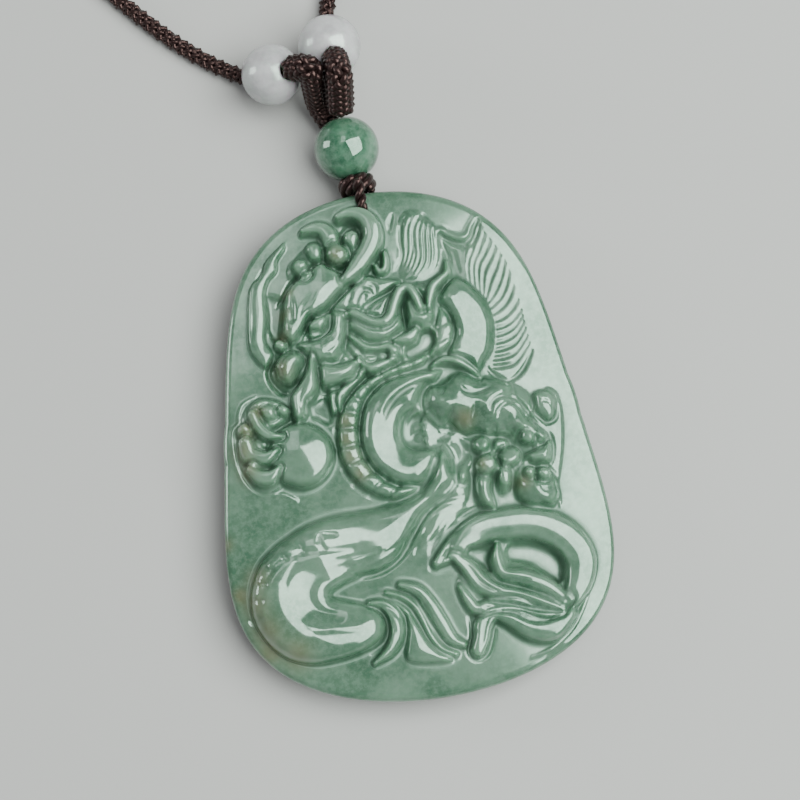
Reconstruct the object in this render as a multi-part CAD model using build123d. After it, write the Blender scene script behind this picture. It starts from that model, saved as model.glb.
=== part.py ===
"""Jade dragon pendant: a carved oval plaque lying face up, on a looped cord with three beads.

The plaque's flat back rests on Z = 0 with its middle at the origin, its carved face is up (+Z), and
its narrow end, where the cord passes through, points to +Y. Lengths are millimetres.
"""
from build123d import *
from collections import namedtuple
import math
import os

import numpy as np

# Plaque
plaque_width = 45.0
plaque_height = 60.4
plaque_thickness = 5.5
relief_height = 2.7
front_bevel = 0.8
back_bevel = 0.6
rim_rise = 1.8
rim_rise_width = 9.0
outline_taper = 0.21
upper_squareness = 5.3
lower_squareness = 3.7
edge_line_width = 0.45
edge_line_share = 0.6
columns = 54
rows = 72

# Cord hole through the narrow end
hole_diameter = 1.7
hole_from_tip = 2.15
hole_side = -0.6

# Cords
loop_cord_diameter = 1.3
core_cord_diameter = 2.0
braid_diameter = 3.3
neck_cord_diameter = 2.2
fit_gap = 0.1

# Knot and beads
knot_diameter = 4.6
knot_length = 1.9
knot_from_edge = 0.3
green_bead_diameter = 7.8
left_bead_diameter = 7.3
right_bead_diameter = 7.6
axis_height = 3.95
axis_lean = 7.0
core_overrun = -0.1
fork_gap = 1.6

# Where the braids set out beyond the green bead, as across, along and up from its middle
left_braid_start = [(-0.75, 4.3, -1.8), (-1.7, 6.5, -1.7)]
right_braid_start = [(0.55, 4.3, 1.85)]
left_braid_radii = [2.4, 1.7]
right_braid_radii = [1.9]

# White beads: where they lie beside the fork, how steep their holes are and which way they point
left_bead_offset = (-6.9, 4.8)
right_bead_offset = (0.5, 7.25)
bead_tilt = 50.0
bead_lift = 1.2
left_bead_heading = 165.0
right_bead_heading = 97.0
braid_reach = 3.8
exit_bend_radius = 2.6

# The neck cord's line on the table, from the left white bead round to the right one (x, y)
neck_route = [
    (-20.5, 53.5), (-32, 67), (-48, 90), (-65, 122), (-76, 160), (-78, 201), (-65, 240), (-36, 267),
    (3, 276), (41, 265), (69, 238), (80, 200), (77, 160), (62, 125), (41, 98), (22, 80), (8, 68),
    (0.5, 60),
]

# The carving. Lengths across are hundredths of the plaque's half width and lengths up are hundredths
# of its half height. A crest is a share of relief_height, below zero for a hollow. A form is a ridge
# along a line: each point is x, y and half width, and its squareness shapes the section (2 is round,
# more is flatter on top). A patch fills a closed outline of x and y and rounds off over its edge, in
# millimetres. Later rows lie over earlier ones.
Form = namedtuple("Form", "name crest squareness line")
Patch = namedtuple("Patch", "name crest edge outline")

# Low rounded masses that the carving stands on
masses = [
    Form("head mass", 0.44, 2.5, [(-46, 46, 9), (-25, 50, 17), (0, 50, 20), (24, 50, 14),
                                  (33, 50, 7)]),
    Form("crown mass", 0.22, 2.5, [(-40, 72, 7), (-27, 76, 10), (-10, 77, 10)]),
    Form("jaw mass", 0.42, 2.5, [(-44, 33, 9), (-20, 36, 13), (5, 38, 13), (26, 38, 12)]),
    Form("mane mass", 0.26, 3.0, [(4, 64, 6), (14, 70, 10), (22, 76, 11), (31, 72, 8), (34, 66, 6)]),
    Form("fin mass", 0.14, 2.5, [(50, 72, 8), (57, 63, 11), (62, 50, 12), (63, 36, 12),
                                 (61, 24, 9)]),
    Form("shoulder mass", 0.50, 2.5, [(16, 8, 15), (36, 8, 18), (55, 3, 17), (66, -6, 12)]),
    Form("paw mass", 0.42, 2.5, [(34, -12, 8), (48, -14, 13), (66, -18, 13)]),
    Form("flank mass", 0.42, 2.5, [(22, -8, 12), (14, -24, 15), (0, -33, 12)]),
    Form("left paw mass", 0.50, 2.5, [(-70, 15, 12), (-74, 2, 12), (-72, -6, 10)]),
    Form("tuft mass", 0.36, 2.5, [(24, -60, 9), (42, -63, 13), (62, -68, 14)]),
]

carving = [
    Patch("flame ribbon", 0.38, 0.9, [(-46, 84), (-51, 81.5), (-58, 77), (-61, 72.5), (-67, 68.5),
                                      (-69.5, 62), (-72, 50), (-71.5, 42), (-65, 35.5),
                                      (-60, 40), (-63, 46), (-61, 55), (-60, 64), (-57, 69.5),
                                      (-52, 73), (-51, 77), (-45.5, 82)]),
    Patch("flame hollow", -0.18, 0.5, [(-60, 64), (-54, 63), (-50.5, 62), (-52, 57), (-54.5, 50),
                                       (-56, 45.5), (-58, 45), (-61, 50), (-60, 57)]),
    Patch("mane pocket", -0.04, 0.5, [(37, 78), (39.5, 75.5), (44, 74), (49.5, 73), (49, 70.5),
                                      (47.3, 67), (45.5, 59), (41.5, 59.5), (38.5, 62),
                                      (38, 68)]),
    Patch("neck", 0.74, 2.2, [(29, 51), (31, 55), (38, 60), (44, 58.5), (49.5, 54), (53.5, 48.5),
                              (55.7, 42), (55.2, 36), (53, 30), (49, 25), (44, 20.5), (38, 25),
                              (30, 29.3), (32, 34), (34.7, 39), (33.5, 45.8)]),
    Patch("neck scales", 0.50, 1.0, [(20, 30.6), (25.5, 31.3), (31.3, 33.4), (34.4, 37.5),
                                     (34.4, 42), (32.5, 46.5), (28.8, 49.2), (26, 44), (25, 38),
                                     (21, 34)]),
    Form("nape blade", 0.66, 2.2, [(20.5, 26.3, 1), (25, 27.8, 2), (30, 27.8, 2.4), (36, 25.8, 2.4),
                                   (41, 22.5, 2), (44.5, 19.8, 1)]),
    Patch("shoulder plate", 0.66, 1.6, [(26, 24), (33, 24), (40, 21), (45, 19.5), (52, 18),
                                        (60, 16.5), (66, 8), (60, 8), (48, 12), (34, 13),
                                        (26, 16)]),
    Patch("lower coil", 0.84, 3.6, [(4, -21), (-18, -24.3), (-40, -25), (-55, -27), (-66, -30.3),
                                    (-76, -34.5), (-84, -40), (-89.5, -48), (-91, -56),
                                    (-89, -64), (-83, -72), (-74, -78), (-62, -81), (-48, -80.7),
                                    (-36, -79), (-28, -76), (-23.5, -71), (-23.5, -66),
                                    (-27, -62), (-33, -59.8), (-42, -57.5), (-48, -55.3),
                                    (-42, -52.5), (-32, -50.6), (-22, -49.4), (-13, -46.5),
                                    (-6, -41), (1, -34), (8, -28.5), (16, -25), (23, -20),
                                    (24, -12), (20, -5), (13, -8), (9, -15)]),
    Patch("body turn", 0.78, 3.0, [(26, 24.5), (16, 25.5), (5, 25.3), (-4, 24), (-11, 21),
                                   (-17, 16.5), (-20.5, 10.5), (-22.3, 4), (-22, -3), (-19, -9),
                                   (-14, -13.5), (-7, -17.5), (1, -19), (8, -18), (14, -13),
                                   (17, -6), (9, -4.5), (4, -3.5), (0.5, -0.5), (0.5, 4), (3, 8),
                                   (8, 10), (11, 9), (12, 14), (16, 19), (22, 20.5)]),
    Patch("belly scales", 0.58, 1.5, [(20, 31.5), (10, 30), (0, 29), (-9, 27), (-17, 24),
                                      (-25, 19.5), (-30.5, 14.5), (-33.5, 6), (-34, -2),
                                      (-31.5, -9), (-26, -15.5), (-18, -20.5), (-8, -23),
                                      (3, -20.5), (3, -19), (-7, -17.5), (-14, -13.5), (-19, -9),
                                      (-22, -3), (-22.3, 4), (-20.5, 10.5), (-17, 16.5),
                                      (-11, 21), (-4, 24), (8, 26), (18, 28.5)]),
    Form("inner fold", 0.50, 2.5, [(-30, -60.5, 1.5), (-23, -62, 2.8), (-18.5, -66.5, 3.8),
                                   (-18, -73.5, 4), (-23, -79.5, 3.2), (-32, -83.5, 1.2)]),
    Patch("cloud", 0.36, 1.2, [(-20, -59.5), (-12, -64), (-9, -68), (-6, -73), (-3, -78), (2, -82),
                               (8, -86.5), (0, -87), (-12, -85.5), (-16, -83), (-14.5, -78),
                               (-12.5, -72), (-13, -66)]),
    Form("outer fold", 0.46, 2.5, [(-13, -55.5, 2), (-5, -58.5, 3.5), (0, -64.5, 4.2), (4.5, -72, 4.2),
                                   (8.5, -78.5, 3.6), (14.5, -81.5, 1.8)]),
    Form("fold wave", 0.30, 2.0, [(-21, -57.5, 1.2), (-12, -60, 2.2), (-6, -64.5, 2.6), (-3, -70, 2.6),
                                  (-0.5, -76, 2.6), (4, -81.5, 2.4), (10, -84.5, 1.6)]),
    Form("tail ring", 0.68, 2.8, [(7, -49.5, 2.5), (17, -45, 6), (30, -39.5, 8), (45, -38.5, 8.5),
                                  (60, -40, 9), (73, -46, 9.5), (80, -55, 9), (78, -64, 7.5),
                                  (72, -71, 5)]),
    Form("tail window", -0.38, 5.0, [(48, -49.5, 5), (58, -51.5, 6), (65, -56, 6.5),
                                     (66.5, -61, 4)]),
    Form("tail window slit", -0.20, 5.0, [(26, -47.5, 3), (33, -50, 5), (34.5, -54, 2.5)]),
    Form("tuft lowest", 0.66, 2.0, [(21, -84.5, 4), (24, -80, 4.5), (26, -75, 5), (32, -71.5, 4.5),
                                    (40, -73.5, 6), (50, -79, 7), (60, -80.5, 7), (69, -76, 5)]),
    Form("tuft low", 0.60, 2.0, [(17, -59.5, 1.5), (20, -65, 3), (24, -69, 3.5), (33, -68, 4),
                                 (43, -69.5, 4), (54, -74, 4), (66, -74, 3)]),
    Form("tuft high", 0.66, 2.0, [(15, -47.5, 1.8), (22, -52, 4.5), (27, -58, 5.5), (34, -63, 5.5),
                                  (44, -66, 4.5), (56, -69.5, 4.5), (67, -72.5, 3)]),
    Form("tuft upper", 0.60, 2.0, [(39, -46, 1.5), (37.5, -52, 3.5), (40, -57.5, 4), (50, -60, 5),
                                   (61, -64.5, 5), (70, -71, 3)]),
    Patch("scroll hollow", -0.06, 0.6, [(11.5, 8.5), (14, 5), (18.5, 1.5), (15, -1.5), (9, -4),
                                        (4, -2.5), (2, 1.5), (3.5, 6), (7.5, 9)]),
    Form("scroll", 0.34, 2.0, [(5, 0.5, 1.8), (8, 5.5, 2), (13, 3.5, 2), (17, 1.5, 1.2)]),
    Form("elbow curl", 0.68, 2.2, [(46, 4, 3), (50, 8.5, 3.5), (56, 8.5, 4), (62, 3, 4.5),
                                   (65.5, -4, 4.5), (67, -10, 4.5)]),
    Form("side ribbon", 0.42, 2.5, [(72, 11.5, 1.5), (79, 9.5, 2.6), (82.5, 2, 2.8), (82.5, -9, 3),
                                    (80, -19, 3), (77, -28, 2.5), (78, -35, 1.5)]),
    Patch("side curl", 0.54, 1.3, [(68.5, 5.5), (71, 9.3), (75, 10.2), (79, 8), (80.5, 3.5),
                                   (79, 0), (76, -1.5), (72, 0.5)]),
    Form("arm ridge", 0.72, 2.0, [(63, 13, 2), (67, 6, 3), (71, 0, 4), (74, -6, 4), (74, -12, 5),
                                  (70, -15, 6)]),
    Patch("upper arm", 0.94, 2.9, [(12.5, 8), (12.5, 13), (14.5, 17.5), (18.5, 20.3), (23, 19.3),
                                   (25.5, 15.5), (31, 13), (39, 12), (46, 9), (52, 7), (59, 3),
                                   (64, -3), (67.5, -9), (60, -10.5), (55, -8.5), (51, -5),
                                   (44, -3), (37, -2), (31, -3), (27, -0.5), (22, 1.5),
                                   (16.5, 3)]),
    Patch("wrist", 0.80, 2.0, [(60, -9.5), (67, -8.5), (74, -7), (76, -11), (75, -16), (70, -18.5),
                               (63, -17), (59.5, -13)]),
    Patch("middle paw", 0.78, 2.0, [(33, -7.5), (36, -4), (41, -3), (47, -5), (52, -6.5), (54, -9),
                                    (59, -12), (57, -16), (52, -19), (51, -24.5), (47, -26),
                                    (43, -25), (41, -20), (34, -14)]),
    Form("knuckle", 0.86, 2.0, [(40, -7, 4.5), (41, -6.6, 4.5)]),
    Form("knuckle", 0.92, 2.0, [(40.5, -14.5, 6), (41.5, -14.3, 6)]),
    Form("knuckle", 0.90, 2.0, [(53, -13.3, 5.5), (54, -13.2, 5.5)]),
    Form("knuckle", 0.82, 2.0, [(48.5, -17.5, 2.6), (48.5, -19, 2.4)]),
    Patch("middle claw", 0.86, 1.6, [(33.5, -14), (32.5, -20), (32.5, -26), (35, -30.5),
                                     (40, -31.8), (42.3, -30.8), (41.3, -25), (42, -18.5),
                                     (39, -16)]),
    Form("thumb claw", 0.52, 2.0, [(32.5, -6.5, 1.8), (28.5, -11, 2.8), (26.3, -16, 2.6),
                                   (27, -19.5, 1.6)]),
    Patch("right paw", 0.88, 2.8, [(60, -16.7), (56, -19.5), (53, -25), (53.5, -30.5), (58, -33.5),
                                   (66, -34.8), (74, -34.5), (76, -30), (75.5, -24), (73, -19.5),
                                   (67, -17.5)]),
    Form("knuckle", 1.0, 2.0, [(61.5, -20.5, 3), (62.5, -21.5, 3)]),
    Form("knuckle", 1.0, 2.0, [(68, -22.3, 3.6), (69, -22.6, 3.6)]),
    Patch("crown", 0.55, 0.8, [(-28, 54.5), (-22, 58.5), (-14, 63), (-9, 66.5), (-2, 65), (6, 63),
                               (12, 61.5), (4, 58), (-4, 55.5), (-11.5, 51), (-17, 52),
                               (-23, 52.5)]),
    Patch("cheek back", 0.82, 3.4, [(10.3, 43.8), (14.7, 41.8), (19.7, 41), (24.7, 42.7),
                                    (27.3, 46.4), (28.6, 50.5), (27, 55), (24, 51.5), (20, 53),
                                    (17.5, 58), (13, 59), (11, 55), (10.3, 49)]),
    Patch("cheek front", 0.86, 3.0, [(-19.5, 45), (-17, 42.8), (-14.5, 40.2), (-10.3, 38.4),
                                     (-4.5, 37.4), (0.5, 38), (5.5, 40.6), (9.3, 43), (10, 48),
                                     (9, 54), (5, 51), (0, 47.5), (-7, 48.5), (-13, 51),
                                     (-19, 51.5), (-20.5, 48)]),
    Form("brow ribbon", 0.96, 2.0, [(-19, 51.3, 2), (-15, 50.7, 3), (-9, 47.5, 3), (-4.5, 46, 3),
                                    (0, 46, 3.2), (3.5, 48.3, 3.2), (6.5, 53, 3.2),
                                    (10, 57.2, 3.2), (14.5, 57.8, 3.2), (17.5, 54, 3.2),
                                    (19.5, 49.5, 3)]),
    Form("brow ribbon end", 0.80, 2.0, [(23.5, 49, 2), (25, 53, 2.8), (27.5, 57, 3), (31.5, 59.3, 2.6),
                                        (36, 62, 2.2), (37, 67, 1)]),
    Form("lip corner", 0.76, 2.0, [(-19.3, 43, 1.2), (-16, 40, 2.2), (-12, 37.2, 2.4),
                                   (-6, 36.2, 2.2), (-0.5, 36.3, 2.6), (2.3, 34, 3.2),
                                   (0.5, 31.8, 2.4)]),
    Form("lower lip", 0.70, 2.0, [(-16.3, 33.5, 2), (-15, 30, 3.2), (-10.5, 28.8, 3.2),
                                  (-4, 29.8, 2.8), (3, 31, 1.5)]),
    Form("lip lobe", 0.66, 2.0, [(3.5, 38.3, 1.5), (8, 38.3, 3), (12, 39.3, 3.6), (15, 41.3, 2.2)]),
    Patch("jaw pit", -0.12, 0.4, [(8, 34.6), (14.7, 36.7), (17, 39.8), (20.5, 41), (23.8, 40),
                                  (24.3, 36.3), (21, 33.4), (13.8, 31.7), (9.5, 31.6),
                                  (7.6, 33)]),
    Patch("beard root", 0.46, 0.5, [(-35, 23.5), (-30, 24), (-27, 22.5), (-30, 17.5), (-31, 14),
                                    (-34.5, 14), (-35, 18)]),
    Form("beard", 0.62, 2.0, [(-16, 28, 2), (-20.5, 25.6, 2.6), (-25.5, 22.6, 2.8), (-29, 19, 2.6),
                              (-30.3, 14.5, 1)]),
    Patch("upper lip", 0.86, 2.2, [(-47.8, 42.4), (-42, 43.5), (-35.3, 44.6), (-30.3, 46.4),
                                   (-28.5, 50), (-27.5, 54), (-22, 53.5), (-19, 52), (-20, 46),
                                   (-21.6, 41.5), (-23.5, 38), (-27, 34.2), (-31, 33.4),
                                   (-38.7, 34), (-43, 36.8)]),
    Patch("lower jaw", 0.84, 2.0, [(-38.3, 32.5), (-34.5, 33.7), (-30.3, 32.8), (-25.3, 32.8),
                                   (-20.3, 33.5), (-15.6, 34.4), (-17, 30.5), (-19.5, 27.2),
                                   (-25, 25.2), (-31, 24), (-37, 24.3), (-39, 27.5)]),
    Patch("eye socket", 0.74, 1.2, [(-42, 47.5), (-38, 51.5), (-31, 53.5), (-28, 53), (-27.8, 49),
                                    (-31, 45.3), (-36, 43.8), (-41, 44)]),
    Form("eye", 0.92, 2.0, [(-37.5, 48.3, 3), (-35, 49, 4.2), (-33, 49.8, 3.4)]),
    Patch("snout", 0.98, 2.1, [(-50, 62.5), (-45, 67), (-36, 71), (-28, 73.5), (-21, 69.5),
                               (-15, 63), (-22, 58.8), (-29, 54.3), (-35, 52), (-38.5, 51.3),
                               (-44, 45.8), (-49, 43), (-53.2, 45), (-54, 49), (-52, 55)]),
    Patch("nose", 0.94, 3.2, [(-61, 35.3), (-56.5, 39.8), (-50.3, 41), (-45.5, 39.5), (-44, 36),
                              (-47, 32.5), (-50.3, 28.8), (-54, 27), (-58, 28.3), (-60.8, 31.5)]),
    Form("nose bead", 0.66, 2.0, [(-56.2, 43.6, 3), (-55.4, 43, 3)]),
    Patch("tongue", 0.92, 1.9, [(-42.8, 36.5), (-45.3, 31.5), (-49.5, 27.2), (-54.3, 23.5),
                                (-55.3, 19), (-55.3, 14.5), (-53, 11.8), (-50, 12.3),
                                (-47, 15), (-45.8, 18.8), (-42, 21), (-39, 24.7), (-38.5, 30),
                                (-38.8, 36), (-41, 38.3)]),
    Patch("throat hollow", -0.14, 0.4, [(-46, 18), (-41, 19.8), (-37.5, 21.2), (-35.6, 19),
                                        (-34.6, 16), (-35.3, 11), (-38.5, 10.6), (-42, 12.5),
                                        (-46, 14.5)]),
    Form("horn knob low", 0.70, 2.0, [(-39.5, 73, 4.8), (-38, 69.5, 3.8)]),
    Form("horn knob middle", 0.62, 2.0, [(-31.5, 79.5, 4.3), (-30, 75, 3.2)]),
    Form("small horn", 0.64, 2.2, [(-35.5, 87, 2), (-31, 87.5, 3.2), (-26, 87, 4.2), (-22.5, 84, 5),
                                   (-21.5, 80, 5)]),
    Form("horn knob upper", 0.70, 2.0, [(-11, 81.5, 4.8), (-12, 77, 4), (-14, 73, 3)]),
    Form("horn knob front", 0.86, 2.0, [(-20, 75.5, 6), (-21, 71, 4.5)]),
    Form("great horn", 0.94, 2.2, [(-16, 90, 2.5), (-11, 91, 3.5), (-5, 90, 4.6), (-0.5, 86.5, 5.5),
                                   (0.5, 81, 6), (-2.5, 76, 6), (-8, 71, 5.5), (-13, 67, 5),
                                   (-17, 65, 3.2)]),
    Form("ear", 0.58, 2.0, [(5.2, 74, 1.6), (5.2, 70.5, 2.2), (4, 67.2, 2.2), (1, 66.6, 2.2),
                            (-0.5, 69, 1.8)]),
    Form("pearl", 0.94, 2.0, [(-54.5, -0.3, 17.5), (-53.5, -0.7, 17.5)]),
    Patch("left paw", 0.82, 2.2, [(-78, 15), (-78.5, 19), (-74.5, 23), (-69.5, 24), (-62, 22.3),
                                  (-57.5, 19.5), (-56.2, 15), (-60, 12.5), (-66, 10.5),
                                  (-72, 11)]),
    Form("knuckle", 1.0, 2.0, [(-67, 17.5, 4.2), (-66, 17.2, 4.2)]),
    Form("knuckle", 0.98, 2.0, [(-59.5, 17.5, 3.2), (-59, 17.2, 3.2)]),
    Form("knuckle", 0.86, 2.0, [(-80, 12, 4.6), (-79.5, 11.5, 4.6)]),
    Form("first claw", 1.04, 2.0, [(-75, 17.5, 3), (-73, 12.5, 3.6), (-68.5, 8.6, 3.4), (-62, 7.3, 1.6)]),
    Form("second claw", 1.04, 2.0, [(-80.5, 7, 4.4), (-79, 2, 5.4), (-72, 0, 4.6), (-65, 2.2, 1.8)]),
    Form("third claw", 0.98, 2.0, [(-79.5, -3.5, 3.6), (-75, -7, 5), (-70, -7.3, 4.4),
                                   (-65.3, -4.5, 1.6)]),
]

half_width = plaque_width / 2
half_height = plaque_height / 2
share = 0.01


def outline_points(steps=720):
    """The outline: an oval squarer at each end than an ellipse and narrowing towards +Y."""
    turn = np.arange(steps) * 2 * math.pi / steps
    rise = np.sin(turn)
    squareness = np.where(rise > 0, upper_squareness, lower_squareness)
    up = np.sign(rise) * np.abs(rise) ** (2 / squareness)
    across = (1 - outline_taper * up) * np.cos(turn)
    return across / across.max() * half_width, up * half_height


def edge_radius(angle):
    """Distance from the middle to the outline in a direction."""
    x, y = outline_points()
    around = np.arctan2(y, x)
    order = np.argsort(around)
    return np.interp(angle, around[order], np.hypot(x, y)[order], period=2 * math.pi)


def smooth_line(points, steps=10):
    """A smooth curve through the points, one cubic between each pair, and its extra columns."""
    points = np.array(points, float)
    before = np.vstack([points[:1], points[:-1]])
    after = np.vstack([points[1:], points[-1:]])
    slope = (after - before) / 2
    t = np.linspace(0, 1, steps, endpoint=False)[:, None, None]
    start, end = points[:-1], points[1:]
    pull_out, pull_in = slope[:-1], slope[1:]
    curve = ((2 * t**3 - 3 * t**2 + 1) * start + (t**3 - 2 * t**2 + t) * pull_out
             + (3 * t**2 - 2 * t**3) * end + (t**3 - t**2) * pull_in)
    return np.vstack([curve.transpose(1, 0, 2).reshape(-1, points.shape[1]), points[-1:]])


def distance_to_line(x, y, line):
    """Each place's distance from the line and the line's half width where it is nearest."""
    nearest = np.full(x.shape, np.inf)
    width = np.zeros(x.shape)
    for (x0, y0, w0), (x1, y1, w1) in zip(line[:-1], line[1:]):
        dx, dy = x1 - x0, y1 - y0
        along = np.clip(((x - x0) * dx + (y - y0) * dy) / (dx * dx + dy * dy), 0, 1)
        distance = np.hypot(x - x0 - along * dx, y - y0 - along * dy)
        closer = distance < nearest
        nearest = np.where(closer, distance, nearest)
        width = np.where(closer, w0 + along * (w1 - w0), width)
    return nearest, width


def closed_line(points, steps=6):
    """A smooth closed curve through the points, without its first point repeated."""
    around = np.vstack([points[-2:], points, points[:2]])
    return smooth_line(around, steps)[2 * steps:-2 * steps - 1]


def inside_of(x, y, line):
    """Which places lie inside a closed line: those with an odd number of its edges to their right."""
    inside = np.zeros(x.shape, bool)
    for (x0, y0), (x1, y1) in zip(line, np.roll(line, -1, axis=0)):
        crosses = (y0 > y) != (y1 > y)
        inside ^= crosses & (x < x0 + (y - y0) * (x1 - x0) / (y1 - y0 + (y1 == y0)))
    return inside


def carved(height, section, distance, inside):
    """The height map with a form's section inside its outline and a line cut beside it."""
    if section.min() < 0:
        return np.where(inside, section, height)
    beside = np.exp(-((distance / edge_line_width) ** 2))
    cut = height * (1 - edge_line_share * beside)
    return np.where(inside, np.maximum(height, section), cut)


def carve(height, x, y, form):
    """Raise or sink one ridge: crest times sqrt(1 - across^squareness)."""
    line = smooth_line(form.line) * share * (half_width, half_height, half_width)
    distance, width = distance_to_line(x, y, line)
    inside = distance < width
    across = np.where(inside, distance / width, 1)
    section = form.crest * relief_height * np.sqrt(1 - across**form.squareness)
    return carved(height, section, distance - width, inside)


def fill(height, x, y, patch):
    """Raise or sink one patch, its edge a quarter round."""
    line = closed_line(patch.outline) * share * (half_width, half_height)
    closed = np.column_stack([np.vstack([line, line[:1]]), np.zeros(len(line) + 1)])
    distance, _ = distance_to_line(x, y, closed)
    rise = np.sqrt(1 - (1 - np.minimum(distance / patch.edge, 1)) ** 2)
    section = patch.crest * relief_height * rise
    return carved(height, section, distance, inside_of(x, y, line))


def swell(height, x, y, mass):
    """Raise one mass, with no line beside it."""
    line = smooth_line(mass.line) * share * (half_width, half_height, half_width)
    distance, width = distance_to_line(x, y, line)
    across = np.minimum(distance / width, 1)
    return np.maximum(height, mass.crest * relief_height * (1 - across**mass.squareness))


def relief(x, y):
    """Height of the carved face above the plaque's ground."""
    height = np.zeros(x.shape)
    for mass in masses:
        height = swell(height, x, y, mass)
    for form in carving:
        shape = fill if isinstance(form, Patch) else carve
        height = shape(height, x, y, form)
    return height


def ring(angle, inset, z):
    """A loop of points at a distance inside the outline."""
    radius = edge_radius(angle) - inset
    return np.stack([radius * np.cos(angle), radius * np.sin(angle), np.full(angle.shape, z)], 1)


def plaque_loops(angle):
    """The loops below the carved face: bevels, wall and the domed back, as inset and height."""
    loops = [ring(angle, 0, plaque_thickness - front_bevel), ring(angle, 0, rim_rise + back_bevel)]
    for part in (back_bevel / rim_rise_width, 0.5, 1.0):
        drop = part * part * (3 - 2 * part)
        loops.append(ring(angle, part * rim_rise_width, rim_rise * (1 - drop)))
    return loops


def plaque_mesh():
    """Points and triangles of the whole plaque without its cord hole."""
    u, v = np.meshgrid(np.linspace(-1, 1, columns + 1), np.linspace(-1, 1, rows + 1))
    disc_x = u * np.sqrt(1 - v**2 / 2)
    disc_y = v * np.sqrt(1 - u**2 / 2)
    angle = np.arctan2(disc_y * half_height, disc_x * half_width)
    radius = np.hypot(disc_x, disc_y) * (edge_radius(angle) - front_bevel)
    x = radius * np.cos(angle)
    y = radius * np.sin(angle)
    z = plaque_thickness + relief(x, y)
    number = np.arange(x.size).reshape(x.shape)
    rim = np.concatenate([number[0, :-1], number[:-1, -1], number[-1, :0:-1], number[:0:-1, 0]])
    z.flat[rim] = plaque_thickness
    points = [np.stack([x.ravel(), y.ravel(), z.ravel()], 1)]

    a, b = number[:-1, :-1].ravel(), number[:-1, 1:].ravel()
    c, d = number[1:, 1:].ravel(), number[1:, :-1].ravel()
    flat = points[0][:, 2]
    turned = np.abs(flat[a] - flat[c]) > np.abs(flat[b] - flat[d])
    a, b, c, d = (np.where(turned, second, first) for first, second in zip((a, b, c, d), (b, c, d, a)))
    triangles = [np.stack([a, b, c], 1), np.stack([a, c, d], 1)]

    upper = rim
    for loop in plaque_loops(angle.flat[rim]):
        lower = np.arange(len(rim)) + sum(len(part) for part in points)
        points.append(loop)
        next_upper, next_lower = np.roll(upper, -1), np.roll(lower, -1)
        triangles.append(np.stack([lower, next_lower, next_upper], 1))
        triangles.append(np.stack([lower, next_upper, upper], 1))
        upper = lower
    return np.vstack(points), np.vstack(triangles), upper


def jade_plaque():
    """The carved plaque with its cord hole."""
    points, triangles, back = plaque_mesh()
    faces = [Face(Wire.make_polygon([tuple(points[i]) for i in corner])) for corner in triangles]
    faces.append(Face(Wire.make_polygon([tuple(points[i]) for i in back[::-1]])))
    plaque = Solid(Shell(faces))
    depth = plaque_thickness + 2 * relief_height
    hole = Cylinder(hole_diameter / 2, 2 * depth)
    return plaque - Pos(hole_side, half_height - hole_from_tip, 0) * hole


def tube(points, radii, diameter, name):
    """A round cord along straight runs joined by tangent arcs; prints its radii and length."""
    path = FilletPolyline(*points, radius=radii)
    start = Plane(origin=path @ 0, z_dir=path % 0)
    body = sweep(start * Circle(diameter / 2), path=path)
    expected = math.pi * diameter**2 / 4 * path.length
    print(name, "radii", [round(r, 1) for r in radii], "length", round(path.length, 1),
          "volume / (section x length)", round(body.volume / expected, 4))
    return body


def run_radius(points, corner):
    """The largest arc that a corner's two runs leave room for."""
    before = points[corner] - points[corner - 1]
    after = points[corner + 1] - points[corner]
    half_turn = math.radians(before.get_angle(after)) / 2
    return 0.45 * min(before.length, after.length) / math.tan(half_turn)


# The line of knot and green bead, leaning to the left of +Y
lean = math.radians(axis_lean)
axis = Vector(-math.sin(lean), math.cos(lean), 0)
knot_start = Vector(hole_side, half_height + knot_from_edge, axis_height)
bead_seat = knot_start + axis * knot_length
bead_mouth = math.sqrt((green_bead_diameter / 2) ** 2 - (core_cord_diameter / 2) ** 2)
green_bead_place = bead_seat + axis * (bead_mouth + fit_gap)
fork = green_bead_place + axis * (green_bead_diameter / 2 + fork_gap)


def cord_knot():
    """Three wraps of cord below the green bead and the core that runs through it to the fork."""
    wrap = knot_length / 2
    ring_radius = knot_diameter / 2 - wrap
    core = core_cord_diameter / 2
    length = (green_bead_place - knot_start).length + green_bead_diameter / 2 + core_overrun
    stem = Pos(0, 0, length / 2) * Cylinder(core, length)
    wraps = Pos(0, 0, wrap) * (Cylinder(ring_radius, knot_length - 0.1) + Torus(ring_radius, wrap))
    return Plane(origin=knot_start, z_dir=axis) * (stem + wraps)


def hanging_cord():
    """The thin cord that passes through the plaque's hole, over its edge and round the knot."""
    above = plaque_thickness + loop_cord_diameter / 2 + 0.2
    below = loop_cord_diameter / 2 + 0.05
    over_knot = axis_height + (knot_diameter + loop_cord_diameter) / 2 + 2 * fit_gap
    hole_y = half_height - hole_from_tip
    end_y = knot_start.Y + knot_length / 2
    points = [
        Vector(hole_side - 0.1, end_y, over_knot),
        Vector(hole_side, half_height - 0.6, above),
        Vector(hole_side, hole_y, above),
        Vector(hole_side, hole_y, below),
        Vector(hole_side - 0.1, end_y, below),
    ]
    bend = 1.1
    return tube(points, [1.5, bend, bend], loop_cord_diameter, "hanging_cord")


def drilled_bead(place, diameter, bore, direction):
    """A round bead with a straight hole through it."""
    hole = Cylinder(bore / 2, 2 * diameter)
    return Plane(origin=place, z_dir=direction) * (Sphere(diameter / 2) - hole)


def bead_direction(heading):
    """The way a white bead's cord runs: forwards along the heading and down into the bead."""
    flat = math.cos(math.radians(bead_tilt))
    turn = math.radians(heading)
    return Vector(flat * math.cos(turn), flat * math.sin(turn), -math.sin(math.radians(bead_tilt)))


def bead_place(offset, diameter):
    """A white bead's middle, from its offset beside the fork."""
    return Vector(fork.X + offset[0], fork.Y + offset[1], diameter / 2 + bead_lift)


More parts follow.
